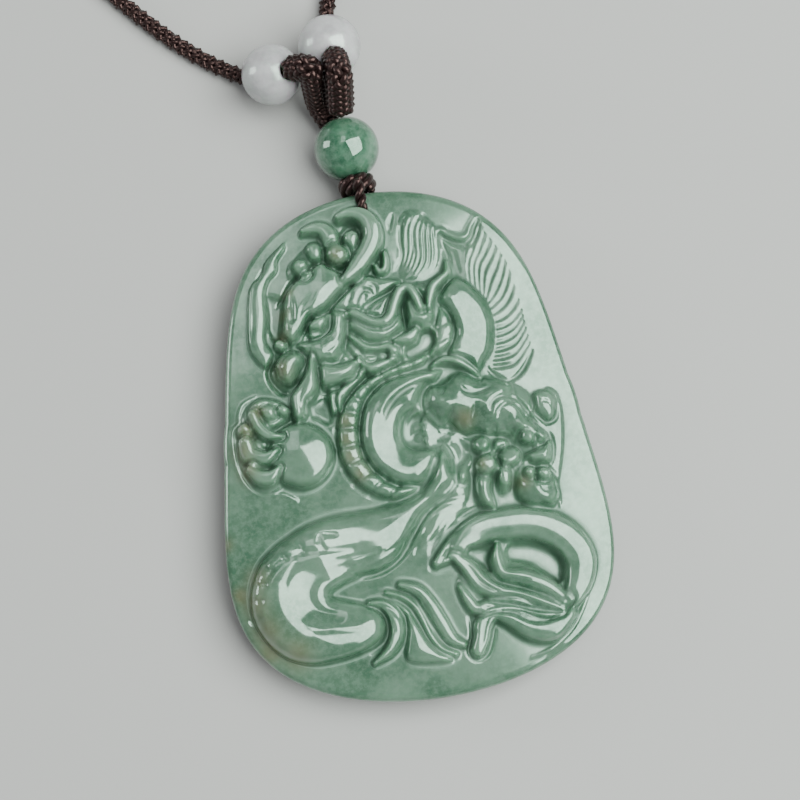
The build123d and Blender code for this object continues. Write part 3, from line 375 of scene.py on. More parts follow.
cuts = [
    # Flame
    Cut("flame ridge", -0.05, [
        (-46, 82, 0.6), (-53, 76.5, 1.8), (-58, 71.5, 2.2), (-63, 67, 2.2), (-63, 60, 2.2),
        (-65, 53, 2.4), (-67.5, 46, 2.6), (-65, 38, 1.6)]),
    Cut("flame groove", 0.16, [
        (-50, 81, 0.6), (-57, 76, 1.3), (-64, 69, 1.4), (-67, 62, 1.4), (-68, 55, 1.4), (-70, 46, 1.2),
        (-68.5, 39, 0.6)]),
    # Head
    Cut("nose moat", 0.9, [
        (-60, 40, 1.0), (-63, 36, 1.6), (-64, 33, 1.6), (-62.5, 29.5, 1.6), (-59, 26, 1.8),
        (-57, 25, 1.4)]),
    Cut("brow edge", 0.8, [
        (-54, 60, 0.8), (-50, 62.8, 1.6), (-45, 67.3, 2.0), (-41, 69.8, 2.0), (-36, 71.5, 1.8),
        (-31, 73.8, 1.4), (-26, 74.5, 0.8)]),
    Cut("knob shade", 0.7, [(-17, 79.5, 1.0), (-15.5, 83.5, 2.0), (-11, 86.3, 2.2), (-7, 86.3, 1.0)]),
    Cut("knob shade", 0.7, [(-26.5, 79, 0.8), (-27, 74, 2.0), (-24.5, 70.5, 2.2), (-22.5, 69.5, 1.0)]),
    Cut("knob shade", 0.6, [(-14.5, 79.5, 0.8), (-12.5, 77, 1.8), (-12.5, 74, 1.0)]),
    Cut("horn ring", 0.3, [(-20.5, 66.5, 0.6), (-18, 63.5, 1.4), (-14.5, 62.5, 0.8)]),
    Cut("nostril", 0.4, [
        (-48.5, 60, 0.6), (-48, 55, 1.2), (-48.3, 51.3, 1.2), (-47, 52, 1.2), (-46.3, 56, 1.2),
        (-46, 59.5, 0.6)]),
    Cut("face line", 0.8, [
        (-44, 45.5, 0.8), (-41.3, 49, 1.2), (-38, 51.5, 1.4), (-34.5, 52.2, 1.4), (-29, 54.5, 1.7),
        (-22, 59, 1.8), (-15, 63.2, 1.6), (-8, 67, 1.0)]),
    Cut("face facet edge", -0.16, [
        (-45, 48, 0.8), (-39.5, 54, 2.0), (-35, 56.5, 2.4), (-30.5, 61.5, 2.0), (-26, 64, 1.0)]),
    Cut("eye line", 0.42, [
        (-41.5, 48.3, 0.8), (-37, 46.2, 1.2), (-32.5, 46.4, 1.2), (-30, 49, 1.2), (-29.6, 53, 0.8)]),
    Cut("eye line", 0.36, [
        (-42, 44.2, 0.6), (-36, 43.8, 1.2), (-31.5, 45.3, 1.2), (-28.4, 48.5, 1.2), (-28.5, 53.5, 0.6)]),
    Cut("crown curl", 0.34, [
        (-13.5, 55, 0.6), (-11, 58.3, 1.2), (-8, 59.8, 1.2), (-5, 58.8, 1.2), (-4.2, 56, 0.6)]),
    Cut("crown curl", 0.3, [(-9.5, 55, 0.6), (-8.5, 57.3, 1.1), (-6.8, 57.3, 0.6)]),
    Cut("crown curl", 0.3, [(-18.5, 54.5, 0.6), (-16.5, 57.5, 1.1), (-14.5, 59.5, 0.6)]),
    Cut("crown curl", 0.3, [(-3, 57, 0.6), (-2.5, 60.5, 1.1), (-6, 62, 0.6)]),
    Cut("double line", 0.6, [
        (-12, 51, 0.8), (-8.5, 54, 1.3), (-4, 55.5, 1.3), (3, 57.8, 1.4), (9, 60.6, 1.3),
        (13, 61.7, 0.6)]),
    Cut("lobe valley", 1.3, [(10.3, 42.5, 1.2), (10, 47, 2.2), (10.6, 51.5, 2.2), (12.3, 54, 1.0)]),
    Cut("ribbon valley", 0.8, [(20.5, 51, 1.0), (21, 55, 2.2), (18.8, 57.5, 1.2)]),
    Cut("lip line", 0.3, [
        (-17.8, 40, 0.6), (-14.3, 36.8, 1.2), (-9.3, 35, 1.2), (-4.5, 34.7, 1.2), (-1.2, 33.2, 1.0),
        (-1.6, 31.3, 0.6)]),
    Cut("mouth corner", 0.4, [
        (-14.5, 33.6, 0.8), (-10.3, 34, 1.4), (-7, 33.2, 1.4), (-9.5, 31.6, 1.2), (-14, 31.6, 0.6)]),
    Cut("mouth", 0.9, [(-18.3, 33.3, 1.0), (-20.8, 36, 2.4), (-22.3, 39.5, 2.0), (-20.8, 43.5, 1.0)]),
    Cut("lip fold", 0.35, [(-43, 36.3, 0.8), (-41.2, 39.3, 1.2), (-39, 40.8, 0.6)]),
    Cut("lip rib", 0.28, [(-33.5, 37.5, 0.6), (-29, 39, 1.2), (-24.5, 42.5, 1.2), (-22.5, 47, 0.6)]),
    Cut("lip rib", 0.28, [(-31.5, 36, 0.6), (-27, 37.2, 1.1), (-23.5, 40, 0.8)]),
    Cut("lip rib", 0.28, [(-29, 41, 0.6), (-27.3, 43, 1.2), (-23, 47.5, 0.6)]),
    Cut("lip rib", 0.24, [(-34, 40.5, 0.6), (-30, 43, 1.2), (-25.5, 48.5, 0.6)]),
    Cut("nose spiral", 0.45, [
        (-57, 35, 0.6), (-54.5, 37.8, 1.3), (-50, 39.2, 1.4), (-46.3, 38, 1.3), (-45.8, 35, 0.8)]),
    Cut("jaw line", 0.8, [
        (-17, 30.8, 0.8), (-14, 27, 1.6), (-8, 26.8, 1.4), (0, 29, 1.4), (7, 31.2, 1.2), (14, 31.3, 1.2),
        (22, 33, 1.2), (25.2, 36.5, 0.8)]),
    Cut("pit rim", -0.22, [
        (7, 35, 0.6), (14.5, 37.6, 1.0), (16, 40.3, 1.0), (20.5, 42, 1.0), (25, 40.8, 0.8),
        (25.5, 36, 0.6)]),
    Cut("jaw shade", 0.7, [
        (-38, 22.3, 1.0), (-33, 22.8, 1.6), (-26, 24.2, 1.6), (-20, 26.2, 1.4), (-18, 27.5, 0.8)]),
    Cut("beard line", 0.4, [(-17, 27.2, 0.6), (-22, 24.2, 1.1), (-27, 20.8, 1.1), (-29.8, 16, 0.6)]),
    Cut("beard edge", 0.7, [(-15, 25.8, 0.8), (-20, 23.4, 1.4), (-26, 19, 1.4), (-29.7, 14.5, 0.8)]),
    Cut("tongue line", 0.3, [(-43.5, 28, 0.6), (-47.5, 24.5, 1.3), (-50, 20, 1.3), (-49.5, 14.5, 0.6)]),
    Cut("ear ring", 0.3, [
        (6.8, 73.5, 0.6), (7, 69.5, 1.0), (5, 65.5, 1.0), (0, 65, 1.0), (-2, 67.5, 0.6)]),
    # Mane, ledge and fin
    Cut("mane stroke", 0.3, [(9.8, 83, 0.6), (10.6, 86, 1.1), (12.5, 88.5, 0.6)]),
    Cut("mane edge", 0.45, [(36.5, 78.5, 0.6), (36.7, 74, 1.1), (38.2, 68, 1.2), (38, 62, 0.8)]),
    Cut("ledge", -0.35, [
        (33.8, 77, 0.6), (34.5, 79.6, 1.4), (37, 79.9, 1.6), (40.5, 77.8, 1.6), (45, 76, 1.6),
        (49.5, 76.5, 1.6), (52.3, 79.5, 1.4), (55.5, 83.5, 0.6)]),
    Cut("ledge", 0.6, [
        (37, 77.5, 0.8), (40, 75.9, 1.4), (44, 74.4, 1.4), (48.5, 73.9, 1.4), (51.7, 75.8, 1.4),
        (54, 79.5, 1.2), (57.5, 82.8, 0.6)]),
    Cut("ledge", 0.3, [
        (41, 73.9, 0.6), (46, 72.3, 1.0), (50.5, 72.5, 1.0), (54, 75, 1.0), (57.5, 80, 0.6)]),
    Cut("fin root", 0.45, [(58, 16.5, 0.6), (64, 18.3, 1.4), (69, 22, 1.4), (73.5, 27, 0.6)]),
    Cut("fin foot", 0.35, [(58, 16.5, 0.6), (53, 19, 1.2), (49, 23, 0.8)]),
    # Neck
    Cut("neck rim", -0.3, [
        (39, 60, 0.6), (44, 57.8, 1.1), (50, 52.7, 1.1), (54.2, 46.5, 1.1), (55, 38, 1.1),
        (52.5, 29.5, 1.0), (47, 23, 0.6)]),
    *alike("neck scale", 0.35, [
        [(26, 40.5, 0.8), (33.8, 43.3, 1.2)], [(24.7, 35, 0.8), (32.8, 37.2, 1.2)],
        [(20, 33, 0.8), (24, 31, 1.2)]]),
    # Body turn, mane pocket, scroll and flank
    Cut("lock groove", 0.42, [
        (-8, 8, 0.8), (-6, 11.3, 1.6), (-1, 15.3, 1.9), (6, 18.4, 1.9), (14, 20.3, 1.4),
        (20, 21.2, 0.6)]),
    Cut("lock ridge", -0.3, [
        (-9.5, 11, 0.8), (-5, 16, 1.8), (3, 19.8, 2.0), (12, 22.3, 1.6), (20, 22.5, 0.8)]),
    Cut("pocket fall", 0.35, [(37, 77, 5), (38, 71, 6), (40.5, 63, 4)]),
    Cut("scroll fall", 0.3, [(4, 6, 5), (3, 1, 6), (5, -3, 5)]),
    *alike("scroll hair", 0.2, [
        [(5, 6.8, 0.6), (9, 7.2, 1.0), (13.5, 5, 1.0), (17, 2.3, 0.5)],
        [(7, 4, 0.6), (11, 4.2, 1.0), (16, 1.8, 0.5)], [(4.5, -0.5, 0.6), (8, 2, 1.0), (13, 1.2, 0.5)]]),
    Cut("flank fold", 0.13, [
        (13, -3.2, 0.8), (17.5, -4.5, 1.4), (19.3, -8.5, 1.6), (18, -14, 1.6), (13, -19.5, 1.4),
        (7, -24.5, 0.6)]),
    Cut("flank fold", 0.13, [
        (11, -4.8, 0.6), (15, -6, 1.3), (16.3, -10, 1.4), (14, -15.3, 1.4), (9, -19.5, 1.2),
        (3, -22.5, 0.6)]),
    Cut("flank fold", 0.12, [
        (20, -3, 0.6), (22.3, -8, 1.3), (21, -13.5, 1.4), (17, -18.8, 1.4), (12.5, -23, 0.6)]),
    # Belly
    *alike("belly scale", 0.4, [
        [(9.5, 30.5, 1.2), (10.5, 27, 1.5)], [(1.5, 29, 1.2), (2.5, 25.5, 1.5)],
        [(-7, 27, 1.2), (-5, 24, 1.5)], [(-16, 24, 1.3), (-13, 20.8, 1.6)],
        [(-24, 20, 1.3), (-19, 16.8, 1.6)], [(-30.5, 14.5, 1.3), (-22, 12.3, 1.6)],
        [(-33.3, 7.4, 1.3), (-22.8, 6.8, 1.6)], [(-34, 0, 1.3), (-22.8, 0.4, 1.6)],
        [(-32, -7, 1.3), (-20.8, -5.2, 1.6)], [(-28, -13.8, 1.3), (-17.5, -11, 1.6)],
        [(-21, -19, 1.3), (-12, -14.8, 1.6)], [(-12.5, -22.5, 1.3), (-6, -17.8, 1.6)]]),
    # Lower coil
    Cut("coil belly rim", 0.16, [
        (-34, -39, 1.2), (-47, -38.8, 2.0), (-60, -38.3, 2.0), (-70, -40, 2.0), (-77, -43.5, 2.0),
        (-81.5, -48.5, 2.0), (-84.5, -55, 2.0), (-86.5, -62, 1.2)]),
    *alike("coil scale", 0.2, [
        [(-42, -33, 1.2), (-49.5, -32.3, 1.8), (-50.5, -35.5, 1.8), (-48.5, -38.3, 1.2)],
        [(-53, -32, 1.2), (-60, -32.3, 1.8), (-60.5, -35.5, 1.8), (-58.5, -38.3, 1.2)],
        [(-64, -33, 1.2), (-69, -34.3, 1.8), (-70, -37, 1.8), (-68, -39.5, 1.2)],
        [(-73, -36, 1.2), (-79.5, -39, 1.8), (-79, -41.5, 1.8), (-76.3, -43, 1.2)],
        [(-86.5, -45, 1.2), (-81, -48, 1.8)], [(-90, -53, 1.2), (-84, -53.8, 1.8)],
        [(-91, -61, 1.2), (-85.5, -61, 1.8)]]),
    Cut("muscle line", 0.24, [(-44, -43, 0.6), (-30, -42.3, 0.9), (-21, -41.3, 0.6)]),
    Cut("muscle line", 0.24, [(-38, -45.5, 0.6), (-28, -44.2, 0.9), (-18, -42, 0.6)]),
    Cut("muscle line", 0.28, [(-40, -46.3, 0.6), (-26, -45, 0.9), (-14, -41.5, 0.9), (-4, -36.5, 0.6)]),
    Cut("muscle line", 0.24, [(-36, -47, 0.6), (-24, -46.3, 0.9), (-13, -43, 0.9), (-5, -38.5, 0.6)]),
    Cut("arm edge", 0.5, [
        (-40, -48.3, 0.8), (-30, -49.6, 1.8), (-21, -49.2, 2.0), (-13, -46.3, 2.0), (-7, -42, 2.0),
        (-2, -36.5, 1.8), (4, -31, 1.6), (11, -27.5, 1.4)]),
    Cut("arm rim", -0.2, [(-31, -51, 0.6), (-22, -50.3, 1.1), (-13, -47.6, 1.1), (-6, -43, 0.6)]),
    # Folds under the body
    Cut("fold groove", 0.5, [
        (-19, -57, 0.6), (-11, -59.3, 1.6), (-5, -64, 1.8), (-2, -70, 1.8), (0.5, -76, 1.8),
        (5, -81, 1.6), (11, -84, 0.8)]),
    Cut("fold line", 0.4, [
        (-26, -61.3, 0.6), (-19, -64.5, 1.4), (-15.3, -69.5, 1.5), (-16, -75, 1.5), (-21, -80, 1.3),
        (-31, -84, 0.6)]),
    Cut("fold line", 0.4, [
        (-29, -62, 0.6), (-24, -65.5, 1.4), (-21.8, -70, 1.5), (-24.5, -75.5, 1.4), (-33, -79.3, 0.6)]),
    Cut("body part", 0.34, [
        (-4, -40, 0.8), (1, -34.5, 1.8), (7, -29, 2.0), (14, -26, 2.0), (20, -25.3, 1.8),
        (26.5, -25.5, 0.8)]),
    Cut("body part", 0.15, [
        (-3, -44, 0.6), (3, -37, 1.8), (10, -31, 1.8), (18, -28.8, 1.6), (25, -29, 0.6)]),
    Cut("body part", 0.15, [(4.5, -45, 0.6), (9, -39, 1.8), (15, -34, 1.8), (23, -31, 0.6)]),
    Cut("body part", 0.5, [
        (4, -50.5, 0.8), (11, -48, 1.8), (16, -42.5, 1.8), (22, -36.8, 1.8), (29, -33.3, 1.6),
        (36, -31, 0.8)]),
    Cut("heel line", 0.5, [(21.5, -33.3, 0.8), (27, -31.5, 1.4), (33, -30, 1.4), (36, -29.5, 0.8)]),
    # Tail and its tuft
    Cut("outer rim", -0.3, [
        (84, -66, 0.6), (78, -74, 1.3), (70, -82, 1.3), (58, -88, 1.3), (48, -90, 0.6)]),
    Cut("tuft hair", 0.35, [
        (20, -49, 0.6), (27, -53, 1.3), (32, -58, 1.4), (38, -60.5, 1.2), (48, -62, 0.6)]),
    Cut("tuft hair", 0.3, [(18, -48.5, 0.6), (23, -53, 1.3), (28, -59.5, 1.4), (36, -64, 0.6)]),
    Cut("tuft hair", 0.35, [
        (37, -46, 0.6), (35.5, -52, 1.3), (37, -57.5, 1.4), (44, -60, 1.2), (52, -61.3, 0.6)]),
    Cut("tuft hair", 0.35, [(42, -46.5, 0.6), (43, -51, 1.3), (47, -54.3, 1.3), (54, -55.5, 0.6)]),
    Cut("tuft hair", 0.35, [
        (25, -65, 0.6), (35, -65.8, 1.3), (45, -67, 1.4), (56, -71.5, 1.2), (65, -74, 0.6)]),
    Cut("tuft hair", 0.3, [
        (28, -69, 0.6), (36, -70.3, 1.2), (46, -73, 1.4), (58, -77, 1.2), (68, -75.5, 0.6)]),
    Cut("tuft hair", 0.3, [(23.5, -83, 0.6), (25.5, -78, 1.3), (28, -74, 1.2), (32, -73, 0.6)]),
    Cut("claw edge", 0.4, [
        (19.5, -71, 0.6), (19.5, -78, 1.0), (16.5, -84, 1.0), (20, -87.3, 1.0), (26, -86.3, 1.0),
        (29.5, -81, 1.0), (31, -77.5, 0.6)]),
    # Right arm and its paws
    Cut("shoulder curl", 0.42, [
        (25, 18.5, 0.6), (25.3, 16.4, 1.2), (24, 14.8, 1.2), (21.5, 14.5, 1.2), (20.5, 15.9, 1.1),
        (21.9, 17.2, 0.8)]),
    Cut("frill", 0.36, [
        (32.8, 17.6, 0.6), (35, 14.5, 1.3), (39.5, 13.2, 1.4), (46.3, 13.9, 1.3), (51, 15.6, 0.6)]),
    Cut("frill tip", -0.2, [(33.4, 18.5, 0.6), (36.2, 16.6, 1.2), (39.5, 16.2, 1.2), (42.3, 16.9, 0.6)]),
    Cut("arm lobe valley", 0.5, [(27.5, 9, 1), (26.3, 5.5, 3.5), (25.7, 1, 2.5)]),
    Cut("elbow valley", 0.4, [(45.5, 4, 1), (46.3, 0, 3), (47, -4, 2)]),
    Cut("elbow arc", 0.36, [
        (47.3, 2.7, 0.6), (47.1, 6.7, 1.2), (50, 9.3, 1.3), (54.8, 10.2, 1.3), (61.1, 8.5, 1.3),
        (65.5, 4.1, 1.3), (67.3, 0, 1.2), (68.3, -4.6, 1.2), (68.3, -8.1, 0.6)]),
    Cut("elbow arc", 0.36, [
        (50.4, 4.8, 0.6), (52.7, 6.5, 1.2), (56.9, 7.4, 1.3), (61.1, 5.6, 1.3), (63.8, 2.2, 1.2),
        (65, -1.3, 0.6)]),
    Cut("side curl line", 0.3, [(75, 8.8, 0.6), (78.5, 7.6, 1.1), (79.5, 4.5, 1.1), (79, 2, 0.6)]),
    Cut("side curl line", 0.26, [(74.5, 6.5, 0.6), (77, 5.8, 1.0), (77.8, 3.8, 0.6)]),
    Cut("claw ridge", -0.25, [(39.9, -20, 0.6), (39.7, -25, 1.5), (41.2, -30.7, 0.8)]),
    Cut("right claw", -0.3, [(63, -25.5, 0.6), (64.3, -29, 1.6), (67.5, -31.3, 1.8), (70.8, -31.8, 0.6)]),
    Cut("right claw line", 0.45, [
        (65.8, -26.3, 0.6), (68.1, -28.3, 1.2), (72, -28.4, 1.2), (75, -27.6, 0.8)]),
    # Left paw
    Cut("paw moat", -0.25, [
        (-73, 25, 0.6), (-79.5, 23, 1.0), (-82.5, 19, 1.0), (-83, 16, 1.0), (-87, 13, 1.0), (-88, 6, 1.0),
        (-87.3, -1, 1.0), (-85, -7, 1.0), (-80, -12, 1.0), (-73, -14, 1.0), (-66, -14, 1.0),
        (-59, -17.5, 0.6)]),
    Cut("claw joint", 0.45, [(-76, 10.5, 0.8), (-74, 7.5, 1.3), (-72, 4.2, 1.6), (-68, 4.8, 1.0)]),
    Cut("claw joint", 0.45, [(-83, -1, 0.8), (-79, -2.8, 1.3), (-74, -4.3, 1.3), (-69, -3.2, 0.8)]),
]

# Wide shallow facets, in the same terms. A roundness of 1 is a plain valley and 2 a round one.
Facet = namedtuple("Facet", "name depth roundness line")

facets = [
    Facet("coil dip", 0.42, 1, [
        (-40, -46, 6), (-50, -47, 8), (-58, -51, 10), (-60, -56, 10.5), (-56, -61, 9), (-48, -63, 6)]),
    Facet("coil foot", 0.3, 1, [(-57, -60, 12), (-45, -63.5, 16), (-33, -63.5, 17)]),
    Facet("arm fall", 0.5, 2, [(-27, -39, 24), (-8, -33, 28), (6, -28, 20)]),
    Facet("shoulder facet", 0.45, 2, [(43, 8, 17), (44, 12, 19), (45, 16, 17)]),
    Facet("coil swell", -0.3, 2, [
        (-70, -38, 8), (-81, -46, 12), (-84, -58, 14), (-78, -70, 15), (-66, -78, 15), (-50, -80, 15),
        (-36, -79, 12), (-26, -76, 8)]),
    Facet("body facet", 0.4, 2, [
        (9, 11, 6), (1, 8, 12), (-2, 2, 14), (0, -5, 14), (7, -9, 12), (13, -9, 6)]),
    Facet("neck facet", 0.6, 2, [
        (42, 61, 10), (50, 54, 16), (55, 47, 19), (56.5, 40, 21), (54.5, 32, 23), (49, 25, 22),
        (43, 20, 12)]),
    Facet("arm underside", 1.2, 2, [
        (17, 6, 8), (22, 2, 15), (27, 0.5, 12.5), (32.5, -3, 20), (38, -3, 17), (44.5, -4.5, 11.5),
        (50, -5.5, 18), (57, -9, 10)]),
]

# Lines of hair spaced evenly between each guide and the next, root to tip, in the same hundredths
Hair = namedtuple("Hair", "name depth between widths guides")

hairs = [
    Hair("mane", 0.5, 2, (0.5, 0.85, 0.95, 0.85, 0.7, 0.4), [
        [(7, 67), (11, 68.5), (13.5, 73), (13, 79), (14.5, 84.5), (18.5, 88)],
        [(7, 65.5), (14, 67), (18, 72), (20, 77), (21, 82), (24, 86.5)],
        [(8, 63.5), (17, 65), (22, 71), (22.5, 77), (24, 83), (28.5, 88)],
        [(9, 61.5), (19, 62.5), (26, 67), (28, 73), (28.5, 78), (29.5, 84)],
        [(15, 60.5), (23, 61.5), (30, 65.5), (33, 71), (33.5, 76), (34, 80)],
        [(20, 59), (27, 61), (33, 64), (35.5, 69), (36, 74), (35.5, 79)],
    ]),
    Hair("fin", 0.24, 3, (0.8, 1.2, 1.2, 0.5), [
        [(45.8, 58.5), (46.8, 66), (50, 71.5), (55.5, 81)],
        [(52.5, 52.5), (54, 62.5), (59, 68), (62.5, 72)],
        [(56, 48), (62, 52), (65.5, 57), (68, 63)],
        [(56.8, 39.5), (62, 40), (67, 42), (71.5, 45)],
        [(55, 31), (61, 31.5), (67, 33.5), (72, 38)],
        [(51, 21.5), (57, 21), (64, 22), (73, 29)],
    ]),
]

# Brownish tints of the stone: x, y and radius in the same hundredths
warm_spots = [
    (-57, 33, 5), (-54, 47, 3.5), (-52, 55, 3.5), (-48, 63, 3), (-80, 12, 5), (-83, 4, 6), (-82, -4, 5),
    (-72, 18, 4), (-28, 10, 3.5), (-29, 3, 3.5), (-28, -4, 4), (-24, -11, 4), (-20, 75, 3.5),
    (-85, -45, 6), (-88, -55, 7), (-84, -66, 8), (-70, -76, 8), (33, 4, 5), (38, -15, 3), (57, -24, 4),
    (-100, 30, 4), (-100, 10, 4), (-100, -10, 4), (-99, -30, 4), (-95, -50, 4), (-84, -74, 5),
    (-93, 50, 4),
]

half_width = plaque_width / 2
half_height = plaque_height / 2
hundredth = 0.01


def full_turn(steps):
    """Evenly spaced angles round a circle."""
    return np.arange(steps) * 2 * math.pi / steps


def outline_points(steps=720):
    """The outline: an oval squarer at each end than an ellipse and narrowing towards +Y."""
    turn = full_turn(steps)
    rise = np.sin(turn)
    squareness = np.where(rise > 0, upper_squareness, lower_squareness)
    up = np.sign(rise) * np.abs(rise) ** (2 / squareness)
    across = (1 - outline_taper * up) * np.cos(turn)
    return across / across.max() * half_width, up * half_height


def edge_radius(angle):
    """Distance from the middle to the outline in a direction."""
    x, y = outline_points()
    around = np.arctan2(y, x)
    order = np.argsort(around)
    return np.interp(angle, around[order], np.hypot(x, y)[order], period=2 * math.pi)


def smooth_line(points, steps=10):
    """A smooth curve through the points, one cubic between each pair; extra columns go with them."""
    points = np.array(points, float)
    before = np.vstack([points[:1], points[:-1]])
    after = np.vstack([points[1:], points[-1:]])
    slope = (after - before) / 2
    t = np.linspace(0, 1, steps, endpoint=False)[:, None, None]
    start, end = points[:-1], points[1:]
    pull_out, pull_in = slope[:-1], slope[1:]
    curve = ((2 * t**3 - 3 * t**2 + 1) * start + (t**3 - 2 * t**2 + t) * pull_out
             + (3 * t**2 - 2 * t**3) * end + (t**3 - t**2) * pull_in)
    return np.vstack([curve.transpose(1, 0, 2).reshape(-1, points.shape[1]), points[-1:]])


def closed_line(points, steps=6):
    """A smooth closed curve through the points, without its first point repeated."""
    around = np.vstack([points[-2:], points, points[:2]])
    return smooth_line(around, steps)[2 * steps:-2 * steps - 1]


def line_at(points):
    """A table's line in millimetres, smoothed."""
    return smooth_line(points) * hundredth * (half_width, half_height, half_width)


def distance_to_line(x, y, line):
    """Each place's distance from the line and the line's half width where it is nearest."""
    nearest = np.full(x.shape, np.inf)
    width = np.zeros(x.shape)
    for (x0, y0, w0), (x1, y1, w1) in zip(line[:-1], line[1:]):
        dx, dy = x1 - x0, y1 - y0
        part = np.clip(((x - x0) * dx + (y - y0) * dy) / (dx * dx + dy * dy), 0, 1)
        distance = np.hypot(x - x0 - part * dx, y - y0 - part * dy)
        closer = distance < nearest
        nearest = np.where(closer, distance, nearest)
        width = np.where(closer, w0 + part * (w1 - w0), width)
    return nearest, width


def near(x, y, line, margin):
    """Which places lie in the box round a line."""
    low = line.min(0)[:2] - margin
    high = line.max(0)[:2] + margin
    return (x > low[0]) & (x < high[0]) & (y > low[1]) & (y < high[1])


def beside(x, y, line, margin=0.0):
    """The places near a line, their distances from it and its half width beside them."""
    spot = near(x, y, line, line[:, 2].max() + margin)
    distance, width = distance_to_line(x[spot], y[spot], line)
    return spot, distance, width


def inside_of(x, y, line):
    """Which places lie inside a closed line: those with an odd number of its edges to their right."""
    inside = np.zeros(x.shape, bool)
    for (x0, y0), (x1, y1) in zip(line, np.roll(line, -1, axis=0)):
        crosses = (y0 > y) != (y1 > y)
        inside ^= crosses & (x < x0 + (y - y0) * (x1 - x0) / (y1 - y0 + (y1 == y0)))
    return inside


def quarter_round(distance, reach):
    """How far an edge has risen at a distance in from it, along a quarter circle."""
    return np.sqrt(1 - (1 - np.minimum(distance / reach, 1)) ** 2)


def lay(height, spot, inside, distance, section):
    """Lay a form over the height map where it is the higher, with a line cut beside it."""
    before = height[spot]
    closeness = np.exp(-((distance / edge_line_width) ** 2))
    cut_back = before * (1 - edge_line_share * closeness)
    height[spot] = np.where(inside, np.maximum(before, section), cut_back)


def carve(height, x, y, form):
    """Raise or sink one ridge in the height map: a round edge and a gently domed top."""
    spot, distance, width = beside(x, y, line_at(form.line), 3 * edge_line_width)
    inside = distance < width
    within = np.where(inside, width - distance, 0)
    edge = np.maximum(edge_softness * width / form.squareness, least_edge)
    section = form.crest * relief_height * quarter_round(within, edge)
    if form.crest < 0:
        height[spot] = np.where(inside, section, height[spot])
        return
    section -= dome_slope / 2 * distance**2 / np.maximum(width, least_edge)
    lay(height, spot, inside, distance - width, section)


def fill(height, x, y, patch):
    """Raise or sink one patch in the height map: a round edge and a gently domed top."""
    line = closed_line(patch.outline) * hundredth * (half_width, half_height)
    spot = near(x, y, line, 3 * edge_line_width)
    closed = np.column_stack([np.vstack([line, line[:1]]), np.zeros(len(line) + 1)])
    distance, _ = distance_to_line(x[spot], y[spot], closed)
    inside = inside_of(x[spot], y[spot], line)
    edge = max(patch.edge * edge_share, least_edge)
    section = patch.crest * relief_height * quarter_round(distance, edge)
    if patch.crest < 0:
        height[spot] = np.where(inside, section, height[spot])
        return
    reach = distance[inside].max()
    section -= dome_slope / 2 * reach * (1 - np.minimum(distance / reach, 1)) ** 2
    lay(height, spot, inside, distance, section)


def swell(height, x, y, mass):
    """Raise one mass: crest times 1 - (distance / width)^squareness, with no line beside it."""
    spot, distance, width = beside(x, y, line_at(mass.line))
    across = np.minimum(distance / width, 1)
    section = mass.crest * relief_height * (1 - across**mass.squareness)
    height[spot] = np.maximum(height[spot], section)


def grind(height, x, y, facet):
    """Cut one facet, or raise it: depth times 1 - (distance / width)^roundness, so its edge is crisp."""
    line = line_at(facet.line)
    spot, distance, width = beside(x, y, line)
    across = np.minimum(distance / width, 1)
    height[spot] -= facet.depth * width / line[:, 2].max() * (1 - across**facet.roundness)


def engrave(height, x, y, cut):
    """Cut one fine line, or raise it, with soft shoulders: depth times (1 - (distance / width)^2)^2."""
    line = line_at(cut.line) * (1, 1, cut_width_share)
    spot, distance, width = beside(x, y, line)
    across = np.minimum(distance / width, 1)
    depth = cut.depth * cut_depth_share * width / line[:, 2].max()
    height[spot] -= depth * (1 - across**2) ** 2


def hair_cuts():
    """Hair lines between each two guides of a bunch."""
    lines = []
    for hair in hairs:
        guides = np.array(hair.guides, float)
        for first, second in zip(guides[:-1], guides[1:]):
            for part in range(hair.between):
                middle = first + (second - first) * (part + 0.5) / hair.between
                line = [(px, py, width) for (px, py), width in zip(middle, hair.widths)]
                lines.append(Cut(hair.name, hair.depth, line))
    return lines


def relief(x, y):
    """Height of the carved face above the plaque's ground. Facets fade out towards the ground."""
    height = np.zeros(x.shape)
    for mass in masses:
        swell(height, x, y, mass)
    for form in carving:
        if isinstance(form, Patch):
            fill(height, x, y, form)
        else:
            carve(height, x, y, form)
    ground = height.copy()
    for facet in facets:
        grind(height, x, y, facet)
    height = ground + (height - ground) * np.clip(ground / facet_footing, 0, 1)
    for cut in cuts + hair_cuts():
        engrave(height, x, y, cut)
    return height


def blur(values, passes):
    """The values smoothed over their grid: each pass takes half of a value and an eighth of each side."""
    for _ in range(passes):
        padded = np.pad(values, 1, mode="edge")
        values = (padded[:-2, 1:-1] + padded[2:, 1:-1] + padded[1:-1, :-2] + padded[1:-1, 2:]
                  + 4 * values) / 8
    return values


def mesh_object(name, points, faces, uv=None):
    """A smooth-shaded mesh object from points in millimetres and faces that all have as many corners."""
    points = np.asarray(points, float) * MM
    faces = np.asarray(faces)
    mesh = bpy.data.meshes.new(name)
    mesh.vertices.add(len(points))
    mesh.vertices.foreach_set("co", points.ravel())
    mesh.loops.add(faces.size)
    mesh.loops.foreach_set("vertex_index", faces.ravel())
    mesh.polygons.add(len(faces))
    mesh.polygons.foreach_set("loop_start", np.arange(0, faces.size, faces.shape[1]))
    mesh.polygons.foreach_set("use_smooth", np.ones(len(faces), bool))
    mesh.update(calc_edges=True)
    if uv is not None:
        layer = mesh.uv_layers.new(name="UVMap")
        layer.data.foreach_set("uv", np.asarray(uv, float)[faces.ravel()].ravel())
    mesh.validate()
    piece = bpy.data.objects.new(name, mesh)
    bpy.context.scene.collection.objects.link(piece)
    return piece


